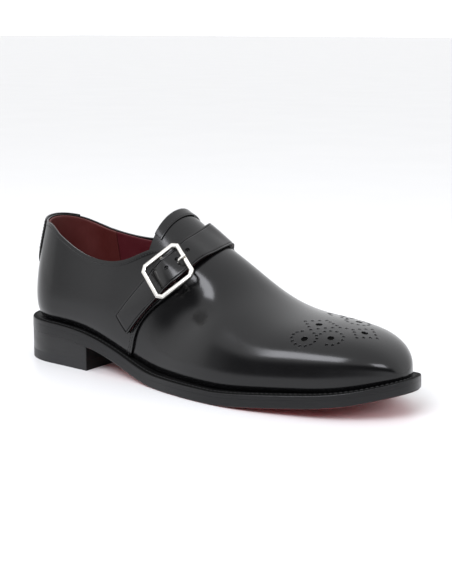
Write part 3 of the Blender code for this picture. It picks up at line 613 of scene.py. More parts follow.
def from_holes(points):
    """Distance of each point from the wall of its nearest hole, negative inside it."""
    best = np.full(len(points), 1.0)
    for centre, radius in zip(hole_points, hole_radii):
        best = np.minimum(best, np.linalg.norm(points - centre, axis=1) - radius)
    return best


# Hollow that the strap's pull leaves in front of the buckle: long and wide across the shoe's own slant
DENT_X = 160 * MM
DENT_GIRTH = 2.10
DENT_DEEP = 6.5 * MM
DENT_LONG = 17.0 * MM
DENT_WIDE = 12.5 * MM
DENT_SLACK = 1.0 * MM
DENT_SPREAD = 22.0 * MM
DENT_TURN = math.radians(30)
DENT_THROUGH = 45 * MM
DENT_FADE = 15 * MM
dent_middle = last_point(run_of(DENT_X), DENT_GIRTH)
dent_out = last_normal(run_of(DENT_X), DENT_GIRTH)
dent_ahead = unit(last_point(run_of(DENT_X) + MM, DENT_GIRTH) - dent_middle)
dent_up = np.cross(dent_out, dent_ahead)
dent_along = math.cos(DENT_TURN) * dent_up + math.sin(DENT_TURN) * dent_ahead
dent_across = math.cos(DENT_TURN) * dent_ahead - math.sin(DENT_TURN) * dent_up


def dent_depth(points):
    """Depth of the hollow at points of the last, on its own side of the shoe only."""
    away = points - dent_middle
    along, across = away @ dent_along / DENT_LONG, away @ dent_across / DENT_WIDE
    far = np.linalg.norm(away, axis=-1) / DENT_SPREAD
    this_side = np.clip((away @ dent_out + DENT_THROUGH) / DENT_FADE, 0, 1)
    hollow = DENT_DEEP * this_side * np.exp(-0.5 * (along ** 2 + across ** 2))
    return hollow + DENT_SLACK * np.exp(-0.5 * far ** 2)


def vamp_points(a, b):
    """Vamp's outer face with the hollow by the strap and the holes of the medallion pressed into it."""
    run, girth = vamp_place(a, b)
    flat = last_point(run, girth)
    away = from_holes(flat)
    inside = eased((HOLE_WALL - away) / (2 * HOLE_WALL))
    lip = HOLE_LIP * np.exp(-((away - 2 * HOLE_WALL) / HOLE_WALL) ** 2)
    return over_last(run, girth, lip - dent_depth(flat) - HOLE_DEPTH * inside)


def sheet_shares(mesh):
    """Shares along and across a sheet at each of its points, kept as its UV."""
    corners = np.empty(len(mesh.loops), int)
    mesh.loops.foreach_get("vertex_index", corners)
    shares = np.zeros((len(mesh.vertices), 2))
    shares[corners] = values_of(mesh.uv_layers.active.uv, "vector", 2)
    return shares.T


def refine(piece, away, place, reaches):
    """Splits the faces near holes, level by level, and puts every point in place again by its UV."""
    mesh = piece.data
    for reach in reaches:
        near = away(values_of(mesh.polygons, "center", 3)) < reach
        mesh.vertices.foreach_set("select", np.zeros(len(mesh.vertices), bool))
        mesh.edges.foreach_set("select", np.zeros(len(mesh.edges), bool))
        mesh.polygons.foreach_set("select", near)
        bpy.ops.object.mode_set(mode="EDIT")
        bpy.ops.mesh.select_mode(type="FACE")
        bpy.ops.mesh.subdivide(number_cuts=1)
        bpy.ops.object.mode_set(mode="OBJECT")
        mesh.vertices.foreach_set("co", place(*sheet_shares(mesh)).ravel())
        mesh.update()


def blacken(piece, away, finish):
    """Gives the faces inside the holes a matte black of their own: partly the dark backing, partly painted
    shade in the hollows.
    """
    inside = away(values_of(piece.data.polygons, "center", 3)) < 0.5 * HOLE_WALL
    piece.data.polygons.foreach_set("material_index", np.where(inside, finish, 0).astype(np.int32))


BLACK = (0.0018, 0.0018, 0.002)
BLACK_LIGHT = (0.003, 0.003, 0.0033)
LINING_RED = (0.055, 0.0035, 0.007)
LINING_LIGHT = (0.08, 0.006, 0.010)
# Matte near-black: painted shade inside the punched holes, along with the dark backing leather, and the inked
# cut edge of the heel tab.
HOLE_SHADE_BLACK = (0.001, 0.001, 0.001)
HOLE_SHADE_BLACK_LIGHT = (0.002, 0.002, 0.002)
CALF = leather("polished_calf", BLACK, BLACK_LIGHT, (0.16, 0.21), pores=2600, clouds=40, bump=0.004 * MM,
               specular=0.38)
FRONT_LINING = leather("front_lining", LINING_RED, LINING_LIGHT, (0.45, 0.6))
HOLE_SHADE_AND_CUT_EDGE = leather("painted_hole_shade_and_cut_edge", HOLE_SHADE_BLACK, HOLE_SHADE_BLACK_LIGHT, (0.7, 0.9), specular=0.05)
vamp = add_sheet("vamp", VAMP_GRID, vamp_points)
refine(vamp, from_holes, vamp_points, HOLE_REACHES)
weld(vamp)
for finish in (CALF, FRONT_LINING, HOLE_SHADE_AND_CUT_EDGE):
    vamp.data.materials.append(finish)
# Faces inside the medallion's holes get the matte black: painted shade in the pits.
blacken(vamp, from_holes, 2)
apply_modifier(vamp, "SOLIDIFY", thickness=WALL, offset=-1, material_offset=1, material_offset_rim=0)
smooth(vamp)
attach(vamp, "root")
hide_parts("upper")

# Quarter linings
# Red calf inside the quarters: a panel round the heel, in a browner red, and a crimson one on each side.
# They are sewn to the quarters along the top line and stop where the vamp begins.

LAYER = 1.3 * MM
LAYER_AT_HEEL = 0.3 * MM
LAYER_START = 45 * MM
LAYER_FULL = 95 * MM
TOP_LINE_COLUMNS = ("x", "lateral", "medial")
TOP_LINE = (
    (0, 94.5, 94.5),
    (12, 92.5, 91.6),
    (24, 91.9, 88.2),
    (40, 85.3, 84.8),
    (60, 76.9, 82.2),
    (82, 73.4, 81.8),
    (104, 76.6, 85.2),
    (119, 83.0, 89.0),
    (134, 85.6, 90.6),
    (150, 79.5, 84.0),
)
TOP_LINE_AT = table_curves(TOP_LINE_COLUMNS, TOP_LINE)
SIDES = {"lateral": -1, "medial": 1}
QUARTER_THICK = 1.25 * MM
LINING_THICK = 0.9 * MM
HEEL_LINING_THICK = 1.3 * MM
LINING_DROP = 0.7 * MM
LINING_SEAM = 45 * MM
SEAM_GAP = 0.25 * MM
LINING_EDGE = 0.25 * MM
LINING_GRID = (110, 50)
GIRTH_SAMPLES = 401
SPAN_STEP = 0.01
BELOW_TOP = 0.05
HEEL_RED = (0.056, 0.0055, 0.0045)
HEEL_RED_LIGHT = (0.083, 0.009, 0.007)


def layer_height(run):
    """Height of the quarters' outer face over the last."""
    share = (place_of(run) - LAYER_START) / (LAYER_FULL - LAYER_START)
    return LAYER_AT_HEEL + (LAYER - LAYER_AT_HEEL) * eased(share)


def girth_at(run, z, side):
    """Girth, counted from one side's feather line, where that side reaches height z."""
    girths = np.linspace(0, GIRTH_MID, GIRTH_SAMPLES)
    heights = last_point(run, girths if side < 0 else GIRTH_END - girths)[:, 2]
    return np.interp(z, heights, girths)


QUARTER_RUN = run_of(QUARTER_END)
top_runs = np.linspace(0, QUARTER_RUN, LINE_SAMPLES)
TOP_GIRTHS = {name: np.array([girth_at(run, TOP_LINE_AT[name](place_of(run)), side) for run in top_runs])
              for name, side in SIDES.items()}


def top_girth(run, name):
    """Girth of the top line over one side, counted from its feather line."""
    return np.interp(run, top_runs, TOP_GIRTHS[name])


def round_from(name, girth):
    """Girth counted round the last from the lateral feather line."""
    return girth if SIDES[name] < 0 else GIRTH_END - girth


def span_of_girth(run, girth):
    """Length on the last of one unit of girth."""
    across = last_point(run, girth + SPAN_STEP) - last_point(run, girth - SPAN_STEP)
    return np.linalg.norm(across, axis=-1) / (2 * SPAN_STEP)


def under_top(run, name, drop):
    """Girth at a drop under the top line."""
    top = top_girth(run, name)
    return top - drop / span_of_girth(run, round_from(name, top - BELOW_TOP))


def heel_lining_place(a, b):
    """Inner panel round the heel, from its medial seam to its lateral one."""
    turn = 1 - 2 * a
    run = np.abs(turn) * run_of(LINING_SEAM)
    girths = [round_from(name, b * under_top(run, name, LINING_DROP)) for name in SIDES]
    girth = np.where(turn < 0, *girths)
    return over_last(run, girth, layer_height(run) - QUARTER_THICK)


def front_lining_place(name):
    """Inner panel of one side, from the heel panel's seam to the vamp's start."""
    def place(a, b):
        a = a if SIDES[name] < 0 else 1 - a
        start = run_of(LINING_SEAM + SEAM_GAP)
        top = under_top(run_of(COLLAR_END) * a + start * (1 - a), name, LINING_DROP)
        girth = round_from(name, b * top)
        run = start + (run_of(vamp_start(girth) - SEAM_GAP) - start) * a
        return over_last(run, girth, layer_height(run) - QUARTER_THICK)
    return place


HEEL_LINING = leather("heel_lining", HEEL_RED, HEEL_RED_LIGHT, (0.5, 0.65), clouds=70)
for name, place, thick, finish in (
        ("heel_lining", heel_lining_place, HEEL_LINING_THICK, HEEL_LINING),
        ("lateral_lining", front_lining_place("lateral"), LINING_THICK, FRONT_LINING),
        ("medial_lining", front_lining_place("medial"), LINING_THICK, FRONT_LINING)):
    lining = add_sheet(name, LINING_GRID, place)
    weld(lining)
    apply_modifier(lining, "SOLIDIFY", thickness=thick, offset=-1)
    round_edges(lining, LINING_EDGE, 2)
    lining.data.materials.append(finish)
    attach(lining, "root")
    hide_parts("upper")

# Quarters
# Two sides of polished black calf, closed at the back seam and lapped over the vamp along their front edges.
# The top line is folded to the inside, which leaves a soft ridge under it.

FOLD_WIDE = 2.6 * MM
FOLD_HIGH = 0.16 * MM
FOLD_EASE = 0.5 * MM
QUARTER_EDGE = 0.48 * MM
EDGE_SHARE = 0.9
EDGE_ROWS = 0.8
FRONT_PULL = 4
BELOW_FOLD = 0.1
QUARTER_GRID = (190, 70)


def edge_crowded(share):
    """Even steps that close up towards the end, where an edge is rounded."""
    return np.interp(share, (0, EDGE_ROWS, 1), (0, EDGE_SHARE, 1))


def quarter_line(name, rows):
    """Run of the quarter's front edge at shares of the way up it."""
    top = top_girth(QUARTER_RUN, name)
    front = QUARTER_AT[name](rows * top)
    tip = QUARTER_AT[name](top)
    return run_of(front + (QUARTER_END - tip) * rows ** FRONT_PULL)


def quarter_spot(name, stations, rows):
    """Run and girth on a quarter: stations from the back seam to the front edge, rows up to the top line."""
    girth = round_from(name, rows * top_girth(stations * QUARTER_RUN, name))
    return stations * quarter_line(name, rows), girth


def quarter_place(name):
    """Outer face of a quarter with the ridge of its folded top line."""
    def place(a, b):
        a = a if SIDES[name] < 0 else 1 - a
        stations, rows = edge_crowded(a), edge_crowded(b)
        run, girth = quarter_spot(name, stations, rows)
        top = top_girth(stations * QUARTER_RUN, name)
        away = (1 - rows) * top * span_of_girth(run, round_from(name, np.maximum(top - BELOW_FOLD, 0)))
        fold = FOLD_HIGH / (1 + np.exp((away - FOLD_WIDE) / (FOLD_EASE / 4)))
        return over_last(run, girth, layer_height(run) + fold)
    return place


for name in SIDES:
    quarter = add_sheet(name + "_quarter", QUARTER_GRID, quarter_place(name))
    weld(quarter)
    apply_modifier(quarter, "SOLIDIFY", thickness=QUARTER_THICK, offset=-1)
    round_edges(quarter, QUARTER_EDGE)
    quarter.data.materials.append(CALF)
    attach(quarter, "root")
    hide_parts("upper")

# Heel tab
# Wide tab of the same calf round the back seam, turned in at the top line and sewn down along its sides.

TAB_HALF = 27.4 * MM
TAB_LOW = 60.0 * MM
TAB_SIDE_RISE = 14.5 * MM
TAB_ROUND = 4
TAB_OVER = 0.6 * MM
TAB_THICK = 1.0 * MM
TAB_EDGE = 0.2 * MM
TAB_GRID = (64, 44)


def tab_spot(turn, share):
    """Run and girth on the heel tab: turn from -1 at its lateral edge to 1 at the medial, share up it."""
    run = np.abs(turn) * TAB_HALF
    low = TAB_LOW + TAB_SIDE_RISE * np.abs(turn) ** TAB_ROUND
    high = TAB_OVER + np.where(turn < 0, *[TOP_LINE_AT[name](place_of(run)) for name in SIDES])
    side = np.where(turn < 0, -1, 1)
    girth = np.array([girth_at(*spot) for spot in zip(run, low + (high - low) * share, side)])
    return run, np.where(turn < 0, girth, GIRTH_END - girth)


def tab_place(a, b):
    """Outer face of the heel tab."""
    run, girth = tab_spot(1 - 2 * a, b)
    return over_last(run, girth, LAYER_AT_HEEL + GAP + TAB_THICK)


tab = add_sheet("heel_tab_strip", TAB_GRID, tab_place)
apply_modifier(tab, "SOLIDIFY", thickness=TAB_THICK, offset=-1, material_offset_rim=1)
round_edges(tab, TAB_EDGE)
for finish in (CALF, HOLE_SHADE_AND_CUT_EDGE):
    tab.data.materials.append(finish)
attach(tab, "root")
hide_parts("heel_tab")

# Tongue band
# Narrow strip of calf turned over the tongue's top edge and sewn down along its lower side.

BAND_WIDE = 6.0 * MM
BAND_THICK = 0.6 * MM
BAND_GIRTHS = (2.86, 4.95)
BAND_EDGE = 0.25 * MM
BAND_GRID = (8, 70)


def band_spot(girth, down):
    """Run and girth on the band: down from the tongue's top edge."""
    return run_of(vamp_start(girth)) + down, girth


def band_place(a, b):
    """Outer face of the band."""
    run, girth = band_spot(BAND_GIRTHS[0] + (BAND_GIRTHS[1] - BAND_GIRTHS[0]) * b, BAND_WIDE * a)
    return over_last(run, girth, GAP + BAND_THICK)


band = add_sheet("tongue_edge_band", BAND_GRID, band_place)
apply_modifier(band, "SOLIDIFY", thickness=BAND_THICK, offset=-1)
round_edges(band, BAND_EDGE)
band.data.materials.append(CALF)
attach(band, "root")
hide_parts("tongue_band")

# Upper's seams
# Rows of waxed black thread: two along each quarter's front edge, one under the top line, on band and tab.
# Each stitch is a short thread that dips into its two holes.

STITCH_LONG = 1.75 * MM
STITCH_PITCH = 2.2 * MM
STITCH_THICK = 0.26 * MM
STITCH_SINK = 0.04 * MM
THREAD_BLACK = (0.012, 0.012, 0.012)
THREAD_LIGHT = (0.03, 0.03, 0.03)
THREAD_ROUGH = 0.6
STITCH_SIDES = 6
GIRTH_STEP = 0.02
WALK_STEPS = 5


def walk(run, girth, along, distance):
    """Moves points over the last sideways from a direction, to the left of it seen from outside."""
    for _ in range(WALK_STEPS):
        sideways = unit(np.cross(last_normal(run, girth), along)) * np.reshape(distance / WALK_STEPS, (-1, 1))
        by_run = (last_point(run + MM, girth) - last_point(run - MM, girth)) / (2 * MM)
        by_girth = last_point(run, girth + GIRTH_STEP) - last_point(run, girth - GIRTH_STEP)
        by_girth = by_girth / (2 * GIRTH_STEP)
        rr, gg, rg = (by_run ** 2).sum(-1), (by_girth ** 2).sum(-1), (by_run * by_girth).sum(-1)
        rs, gs = (by_run * sideways).sum(-1), (by_girth * sideways).sum(-1)
        spread = rr * gg - rg * rg
        run = run + (rs * gg - gs * rg) / spread
        girth = girth + (gs * rr - rs * rg) / spread
    return run, girth


def beside(run, girth, distance):
    """Line on the last moved sideways by a distance."""
    along = unit(np.gradient(last_point(run, girth), axis=0))
    return walk(run, girth, along, np.full(len(run), distance))


def lengths_along(line):
    """Length of a line from its start to each of its points."""
    return np.concatenate([[0], np.cumsum(np.linalg.norm(np.diff(line, axis=0), axis=1))])


def between(spots, places, rows):
    """Rows of values read at spots between their places."""
    return np.stack([np.interp(spots, places, column) for column in np.transpose(rows)], -1)


def add_stitches(name, lines, pitch, long, thick, finish):
    """Stitches along lines, each given by its points and the outward direction at them."""
    bpy.ops.object.select_all(action="DESELECT")
    bpy.ops.mesh.primitive_uv_sphere_add(segments=STITCH_SIDES, ring_count=STITCH_SIDES, radius=1)
    piece = bpy.context.object
    piece.name = name
    faces = [list(face.vertices) for face in piece.data.polygons]
    shape = values_of(piece.data.vertices, "co", 3)[:, [2, 0, 1]] * (long / 2, thick, thick)
    points, polygons = [], []
    for line, outward in lines:
        length = lengths_along(line)
        for k in range(max(int(length[-1] / pitch), 1)):
            spot = (k + 0.5) * pitch
            back, middle, front = between(spot + np.array([-long / 2, 0, long / 2]), length, line)
            out = unit(between(spot, length, outward))
            along = unit(front - back)
            side = np.cross(out, along)
            start = len(points) * len(shape)
            points.append(middle - out * STITCH_SINK + shape @ np.stack([along, side, out]))
            polygons += [[start + corner for corner in face] for face in faces]
    piece.data.clear_geometry()
    piece.data.from_pydata(np.concatenate(points), [], polygons)
    piece.data.name = name
    smooth(piece, 180)
    piece.data.materials.append(finish)
    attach(piece, "root")
    return piece


def thread(name, dark, light):
    """Twisted thread: fine slanted bands in colour and relief."""
    material, tree, shader, where = add_material(name, Specular_IOR_Level=0.2)
    twist = add_node(tree, "ShaderNodeTexWave", {"wave_type": "BANDS", "bands_direction": "DIAGONAL"},
                     Vector=where, Scale=900.0, Distortion=1.0).outputs["Fac"]
    shade(tree, shader, (twist, dark, light), (twist, THREAD_ROUGH, THREAD_ROUGH), (twist, 0.1 * MM),
          strength=0.6)
    return material


BLACK_THREAD = thread("black_thread", THREAD_BLACK, THREAD_LIGHT)
FRONT_ROWS = (1.7 * MM, 3.3 * MM)
COLLAR_ROW = FOLD_WIDE
BAND_ROW = 4.9 * MM
TAB_ROW = 1.3 * MM
LINE_POINTS = 240
# shares of the way up the front edge, along the top line and up the tab where the rows start and end
FRONT_REACH = (0.03, 0.985)
COLLAR_REACH = 0.97
TAB_REACH = (0.04, 0.96)


def seam(run, girth, height):
    """Points and outward directions of a seam at a height over the last."""
    return over_last(run, girth, height), last_normal(run, girth)


seams = []
for name, side in SIDES.items():
    rows = np.linspace(*FRONT_REACH, LINE_POINTS)
    run, girth = quarter_spot(name, np.ones(LINE_POINTS), rows)
    for distance in FRONT_ROWS:
        row_run, row_girth = beside(run, girth, -side * distance)
        seams.append(seam(row_run, row_girth, layer_height(row_run)))
    run = np.linspace(TAB_HALF + TAB_ROW, QUARTER_RUN * COLLAR_REACH, LINE_POINTS)
    girth = round_from(name, under_top(run, name, COLLAR_ROW))
    seams.append(seam(run, girth, layer_height(run) + FOLD_HIGH / 2))
    turns = np.full(LINE_POINTS, side * (1 - TAB_ROW / TAB_HALF))
    run, girth = tab_spot(turns, np.linspace(*TAB_REACH, LINE_POINTS))
    seams.append(seam(run, girth, np.full(LINE_POINTS, LAYER_AT_HEEL + GAP + TAB_THICK)))
run, girth = band_spot(np.linspace(*BAND_GIRTHS, LINE_POINTS), BAND_ROW)
seams.append(seam(run, girth, np.full(LINE_POINTS, GAP + BAND_THICK)))
upper_seams = add_stitches("upper_seams", seams, STITCH_PITCH, STITCH_LONG, STITCH_THICK, BLACK_THREAD)

# Welt
# Strip of black leather between upper and sole, sewn through both, its edge trimmed to the sole's outline.
# Its upper face is pressed with a hot wheel, which leaves fine ridges across it.

WELT_LOW = OUTSOLE_THICK + GAP
WELT_HIGH = WELT_LOW + WELT_THICK
RIDGE_PITCH = 1.5 * MM
RIDGE_DEEP = 0.22 * MM
RIDGE_WIDE = 3.4 * MM
RIDGE_SAMPLES = 4
RIDGE_LOW = 0.8 * MM
RIDGE_EASE = 0.5 * MM
WELT_SAMPLES = 4000
WELT_ROWS = 33
SOLE_WELD = 0.02 * MM
WELT_UP = 0.72


def plan_loop(edges, samples):
    """Closed plan line round two edges, heel to toe and back, with its inward directions."""
    lateral, medial = edges
    line = np.concatenate([lateral, medial[-2:0:-1]])
    closed = np.concatenate([line, line[:1]])
    length = lengths_along(closed)
    points = between(np.linspace(0, length[-1], samples), length, closed)
    along = unit(np.gradient(np.concatenate([points[-2:-1], points, points[1:2]]), axis=0)[1:-1])
    return points, np.stack([-along[:, 1], along[:, 0]], -1), length[-1]


def along_profile(profile, share):
    """Columns of a profile read at shares of its rows."""
    return between(share * (len(profile) - 1), np.arange(len(profile)), profile).T


# inset from the edge and height over the sole's underside, in millimetres
WELT_PROFILE = (
    (0.7, 5.45), (0.08, 5.45), (0.1, 6.1), (0.14, 7.3), (0.25, 7.8), (0.55, 8.2), (0.95, 8.36), (1.6, 8.44),
    (2.6, 8.45), (3.6, 8.47), (4.6, 8.48), (6.0, 8.48), (9.0, 8.48), (11.9, 8.48), (11.9, 5.55), (6.0, 5.45),
    (0.7, 5.45),
)
welt_line, welt_inward, welt_length = plan_loop(outline(0), WELT_SAMPLES)
welt_ridges = int(welt_length / RIDGE_PITCH)


def welt_place(a, b):
    """Welt's skin: a round the shoe, b round its profile."""
    inset, height = along_profile(WELT_PROFILE, b) * MM
    at, inward = along_profile(welt_line, a).T, along_profile(welt_inward, a).T
    plan = at + inward * inset[:, None]
    top = np.clip((height - (WELT_HIGH - RIDGE_LOW)) / RIDGE_EASE, 0, 1)
    top = top * np.clip((RIDGE_WIDE - inset) / MM, 0, 1)
    ridge = 0.5 - 0.5 * np.cos(2 * math.pi * welt_ridges * a)
    level = sole_under_at(plan[:, 0], plan[:, 1]) + height - RIDGE_DEEP * top * ridge
    return np.stack([plan[:, 0], plan[:, 1], level], -1) + SHIFT


EDGE_BLACK = (0.003, 0.003, 0.0033)
EDGE_LIGHT = (0.009, 0.009, 0.0095)
EDGE_ROUGH = (0.28, 0.4)
EDGE_STRETCH = (40.0, 40.0, 2200.0)
EDGE_STREAK = 0.06 * MM
# Matte darker black for faces that lie in shade: the welt's upward faces under the upper and the heel's
# breast, painted shade.
WELT_SHADE = (0.002, 0.002, 0.002)
WELT_SHADE_LIGHT = (0.005, 0.005, 0.005)


def edge_finish(name, specular):
    """Inked and burnished leather edge: fine lines along the layers, in colour, gloss and relief."""
    material, tree, shader, where = add_material(name, Specular_IOR_Level=specular)
    flat = add_node(tree, "ShaderNodeMapping", None, Vector=where, Scale=EDGE_STRETCH).outputs[0]
    lines = add_node(tree, "ShaderNodeTexNoise", None, Vector=flat, Scale=1.0, Detail=3.0).outputs["Fac"]
    face = add_node(tree, "ShaderNodeGroup", {"node_tree": LEATHER_FACE}, Vector=where, Pores=1800,
                    Clouds=120)
    shade(tree, shader, (lines, EDGE_BLACK, EDGE_LIGHT), (face.outputs["Cloud"], *EDGE_ROUGH),
          (lines, EDGE_STREAK))
    return material


BLACK_EDGE = edge_finish("black_edge", 0.28)
WELT_TOP_AND_BREAST_SHADE = leather("painted_shade_welt_top_and_breast", WELT_SHADE, WELT_SHADE_LIGHT, (0.5, 0.65), specular=0.1)


def paint_by_normal(piece, axis, least):
    """Gives the second material to faces that look along an axis by more than a limit, or back along it."""
    for face in piece.data.polygons:
        face.material_index = 1 if face.normal[axis] * np.sign(least) > abs(least) else 0


welt = add_sheet("welt_strip", (welt_ridges * RIDGE_SAMPLES + 1, WELT_ROWS), welt_place)
weld(welt, SOLE_WELD)
face_out(welt)
smooth(welt)
welt.data.materials.append(BLACK_EDGE)
welt.data.materials.append(WELT_TOP_AND_BREAST_SHADE)
# The welt's upward faces get the matte darker black: painted shade in the recess under the upper.
paint_by_normal(welt, 2, WELT_UP)
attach(welt, "root")
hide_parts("welt")

WELT_ROW = 3.0 * MM
WELT_STITCH = 2.2 * MM
WELT_STITCH_PITCH = 3.0 * MM
WELT_STITCH_THICK = 0.36 * MM
row = welt_line + welt_inward * WELT_ROW
row_level = sole_under_at(row[:, 0], row[:, 1]) + WELT_HIGH
row_points = np.concatenate([row, row_level[:, None]], -1) + SHIFT
row_out = np.tile((0.0, 0.0, 1.0), (len(row), 1))
welt_seam = add_stitches("welt_seam", [(row_points, row_out)], WELT_STITCH_PITCH, WELT_STITCH,
                         WELT_STITCH_THICK, BLACK_THREAD)

# Outsole
# One thick piece of sole leather, sewn to the welt, its edge inked black and its underside stained red.

HEEL_BREAST = 72 * MM
HEEL_EASE = 8 * MM
UNDER_HEEL = 0.15
SOLE_DOWN = 0.8
SOLE_ROUND = 1.4
SOLE_STEP = 0.002 * LENGTH
SOLE_GRID = (361, 49)
RED = (0.36, 0.012, 0.016)
RED_LIGHT = (0.46, 0.022, 0.024)
# share of the way in to the sole's axis, then inset from the edge and height over the underside in mm
SOLE_PROFILE = (
    (1.0, 0.0, 0.0), (0.5, 0.0, 0.0), (0.12, 0.0, 0.0), (0.0, 1.6, 0.0), (0.0, 1.0, 0.03), (0.0, 0.55, 0.16),
    (0.0, 0.25, 0.42), (0.0, 0.08, 0.8), (0.0, 0.0, 1.4), (0.0, 0.0, 2.6), (0.0, 0.02, 3.9), (0.0, 0.05, 4.7),
    (0.0, 0.07, 5.2), (0.0, 0.08, 5.42), (0.0, 2.0, 5.42), (0.5, 0.0, 5.42), (1.0, 0.0, 5.42),
)


def sole_place(a, b):
    """Outsole's skin: a round it from the heel, b from its underside over the edge to its top."""
    def edge_at(x):
        return AXIS_AT(x) + np.where(medial, sole_half(x, 1), -sole_half(x, -1))

    share, inset, height = along_profile(SOLE_PROFILE, b)
    medial = a > 0.5
    x = LENGTH * ends_crowded(np.where(medial, 2 - 2 * a, 2 * a))
    edge = edge_at(x)
    ahead, behind = np.clip(x + SOLE_STEP, 0, LENGTH), np.clip(x - SOLE_STEP, 0, LENGTH)
    along = unit(np.stack([ahead - behind, edge_at(ahead) - edge_at(behind)], -1))
    inward = np.stack([-along[:, 1], along[:, 0]], -1) * np.where(medial, -1, 1)[:, None]
    inward[x <= TINY] = (1, 0)
    inward[x >= LENGTH - TINY] = (-1, 0)
    rounding = np.clip((x - HEEL_BREAST) / HEEL_EASE, UNDER_HEEL, 1)
    inset = np.where((share == 0) & (height < SOLE_ROUND), inset * rounding, inset)
    plan = np.stack([x, edge + (AXIS_AT(x) - edge) * share], -1) + inward * inset[:, None] * MM
    level = sole_under_at(plan[:, 0], plan[:, 1]) + height * MM
    return np.stack([plan[:, 0], plan[:, 1], level], -1) + SHIFT


outsole = add_sheet("outsole_leather", SOLE_GRID, sole_place)
weld(outsole, SOLE_WELD)
face_out(outsole)
smooth(outsole)
SOLE_RED = leather("red_sole", RED, RED_LIGHT, (0.3, 0.42), pores=1200, clouds=35, bump=0.04 * MM)
outsole.data.materials.append(BLACK_EDGE)
outsole.data.materials.append(SOLE_RED)
paint_by_normal(outsole, 2, -SOLE_DOWN)
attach(outsole, "root")
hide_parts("outsole")

# Heel
# Lifts of leather pegged into one block, trimmed hollow at its breast and inked black, on a rubber top piece.

HEEL_INSET = 0.1 * MM
HEEL_JOINT = 0.02 * MM
TOP_PIECE_THICK = 6.0 * MM
HEEL_HOLLOW = 2.5 * MM
HOLLOW_POWER = 6
HEEL_GRID = (61, 25)
HEEL_WELD = 0.01 * MM
HEEL_EDGE = 0.1 * MM
HEEL_EDGE_ANGLE = 40
BREAST_AHEAD = 0.7
RUBBER = (0.007, 0.007, 0.008)
RUBBER_LIGHT = (0.013, 0.013, 0.014)


def add_lift(name, low, high):
    """Heel block between two height functions of x and y, rounded along its edges."""
    lateral, medial = outline(HEEL_INSET)
    start = lateral[0, 0]

    def place(a, b):
        x = start + (HEEL_BREAST - start) * (1 - np.cos(a * math.pi / 2))
        left = np.interp(x, lateral[:, 0], lateral[:, 1])
        right = np.interp(x, medial[:, 0], medial[:, 1])
        y = left + (right - left) * b
        bowed = x - HEEL_HOLLOW * (x / HEEL_BREAST) ** HOLLOW_POWER * (1 - (2 * b - 1) ** 2)
        return np.stack([bowed, y, low(x, y)], -1) + SHIFT

    piece = add_sheet(name, HEEL_GRID, place)
    weld(piece, HEEL_WELD)
    bpy.ops.object.mode_set(mode="EDIT")
    bpy.ops.mesh.select_all(action="SELECT")
    bpy.ops.mesh.extrude_region_move(TRANSFORM_OT_translate={"value": (0, 0, MM)})
    bpy.ops.object.mode_set(mode="OBJECT")
    for vertex in piece.data.vertices:
        if vertex.select:
            x, y = vertex.co.x - SHIFT[0], vertex.co.y - SHIFT[1]
            vertex.co.z = float(high(np.array(x), np.array(y)))
    face_out(piece)
    round_edges(piece, HEEL_EDGE, angle=HEEL_EDGE_ANGLE)
    return piece


def level(height):
    """Height function of a flat face."""
    return lambda x, y: np.full(np.shape(x), height)


stack = add_lift("heel_lifts", level(TOP_PIECE_THICK + GAP), lambda x, y: sole_under_at(x, y) - HEEL_JOINT)
HEEL_FINISH = edge_finish("heel_edge", 0.38)
for finish in (HEEL_FINISH, WELT_TOP_AND_BREAST_SHADE):
    stack.data.materials.append(finish)
# Forward-facing breast faces of the lifts get the matte darker black: painted shade under the arch.
paint_by_normal(stack, 0, BREAST_AHEAD)
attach(stack, "root")
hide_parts("heel_stack")
top_piece = add_lift("heel_rubber", level(0.0), level(TOP_PIECE_THICK + GAP - HEEL_JOINT))
BLACK_RUBBER = leather("black_rubber", RUBBER, RUBBER_LIGHT, (0.45, 0.6), pores=2500, clouds=80,
                       bump=0.03 * MM, specular=0.4)
for finish in (BLACK_RUBBER, WELT_TOP_AND_BREAST_SHADE):
    top_piece.data.materials.append(finish)
# Forward-facing breast faces of the top piece get the matte darker black: painted shade under the arch.
paint_by_normal(top_piece, 0, BREAST_AHEAD)
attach(top_piece, "root")
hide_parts("heel_top_piece")

# Strap
# Strip of calf over a dark red lining, from the inner quarter over the instep and down through the buckle.
# Its edges are creased with a warm iron, the crease lines painted matte black as shade, and three round
# holes, matte black inside as painted shade, are punched through it for the prong.

STRAP_COLUMNS = ("girth", "x", "half", "thick")
STRAP = (
    (0.98, 105.8, 8.0, 2.4),
    (1.25, 111.2, 8.0, 2.4),
    (1.51, 117.2, 8.1, 2.4),
    (1.87, 126.6, 8.4, 2.4),
    (2.20, 134.6, 8.9, 2.4),
    (2.48, 141.0, 9.3, 2.4),
    (2.80, 145.0, 9.2, 2.4),
    (3.20, 147.4, 9.5, 2.1),
    (3.70, 148.2, 9.9, 1.8),
    (4.20, 146.2, 10.0, 1.8),
    (4.70, 142.0, 10.5, 1.9),
    (5.20, 136.0, 11.6, 1.8),
    (5.70, 129.6, 13.8, 1.1),
    (6.10, 123.6, 15.6, 0.6),
)
STRAP_AT = table_curves(STRAP_COLUMNS, STRAP, ("girth",))
STRAP_LIFT = 1.75 * MM
STRAP_SETTLE = 1.4 * MM
SETTLE_MIDDLE = 3.85
SETTLE_REACH = 0.5
STRAP_ARCH = 2.1 * MM
STRAP_ARCH_REACH = 12.0 * MM
STRAP_CROWN = 0.35 * MM
BUCKLE_X = 141.4 * MM
BUCKLE_GIRTH = 2.48
BUCKLE_TOP = 6.4 * MM
BUCKLE_TILT = 4.0
TIP_ROUND = 2.2 * MM
CREASE_IN = 1.25 * MM
CREASE_DEEP = 0.30 * MM
CREASE_WIDE = 0.36 * MM
CREASE_SHADE_REACH = 0.28 * MM
FACE_SHARE = 0.6
LINING_SHARE = 0.37
LINING_INSET = 0.25 * MM
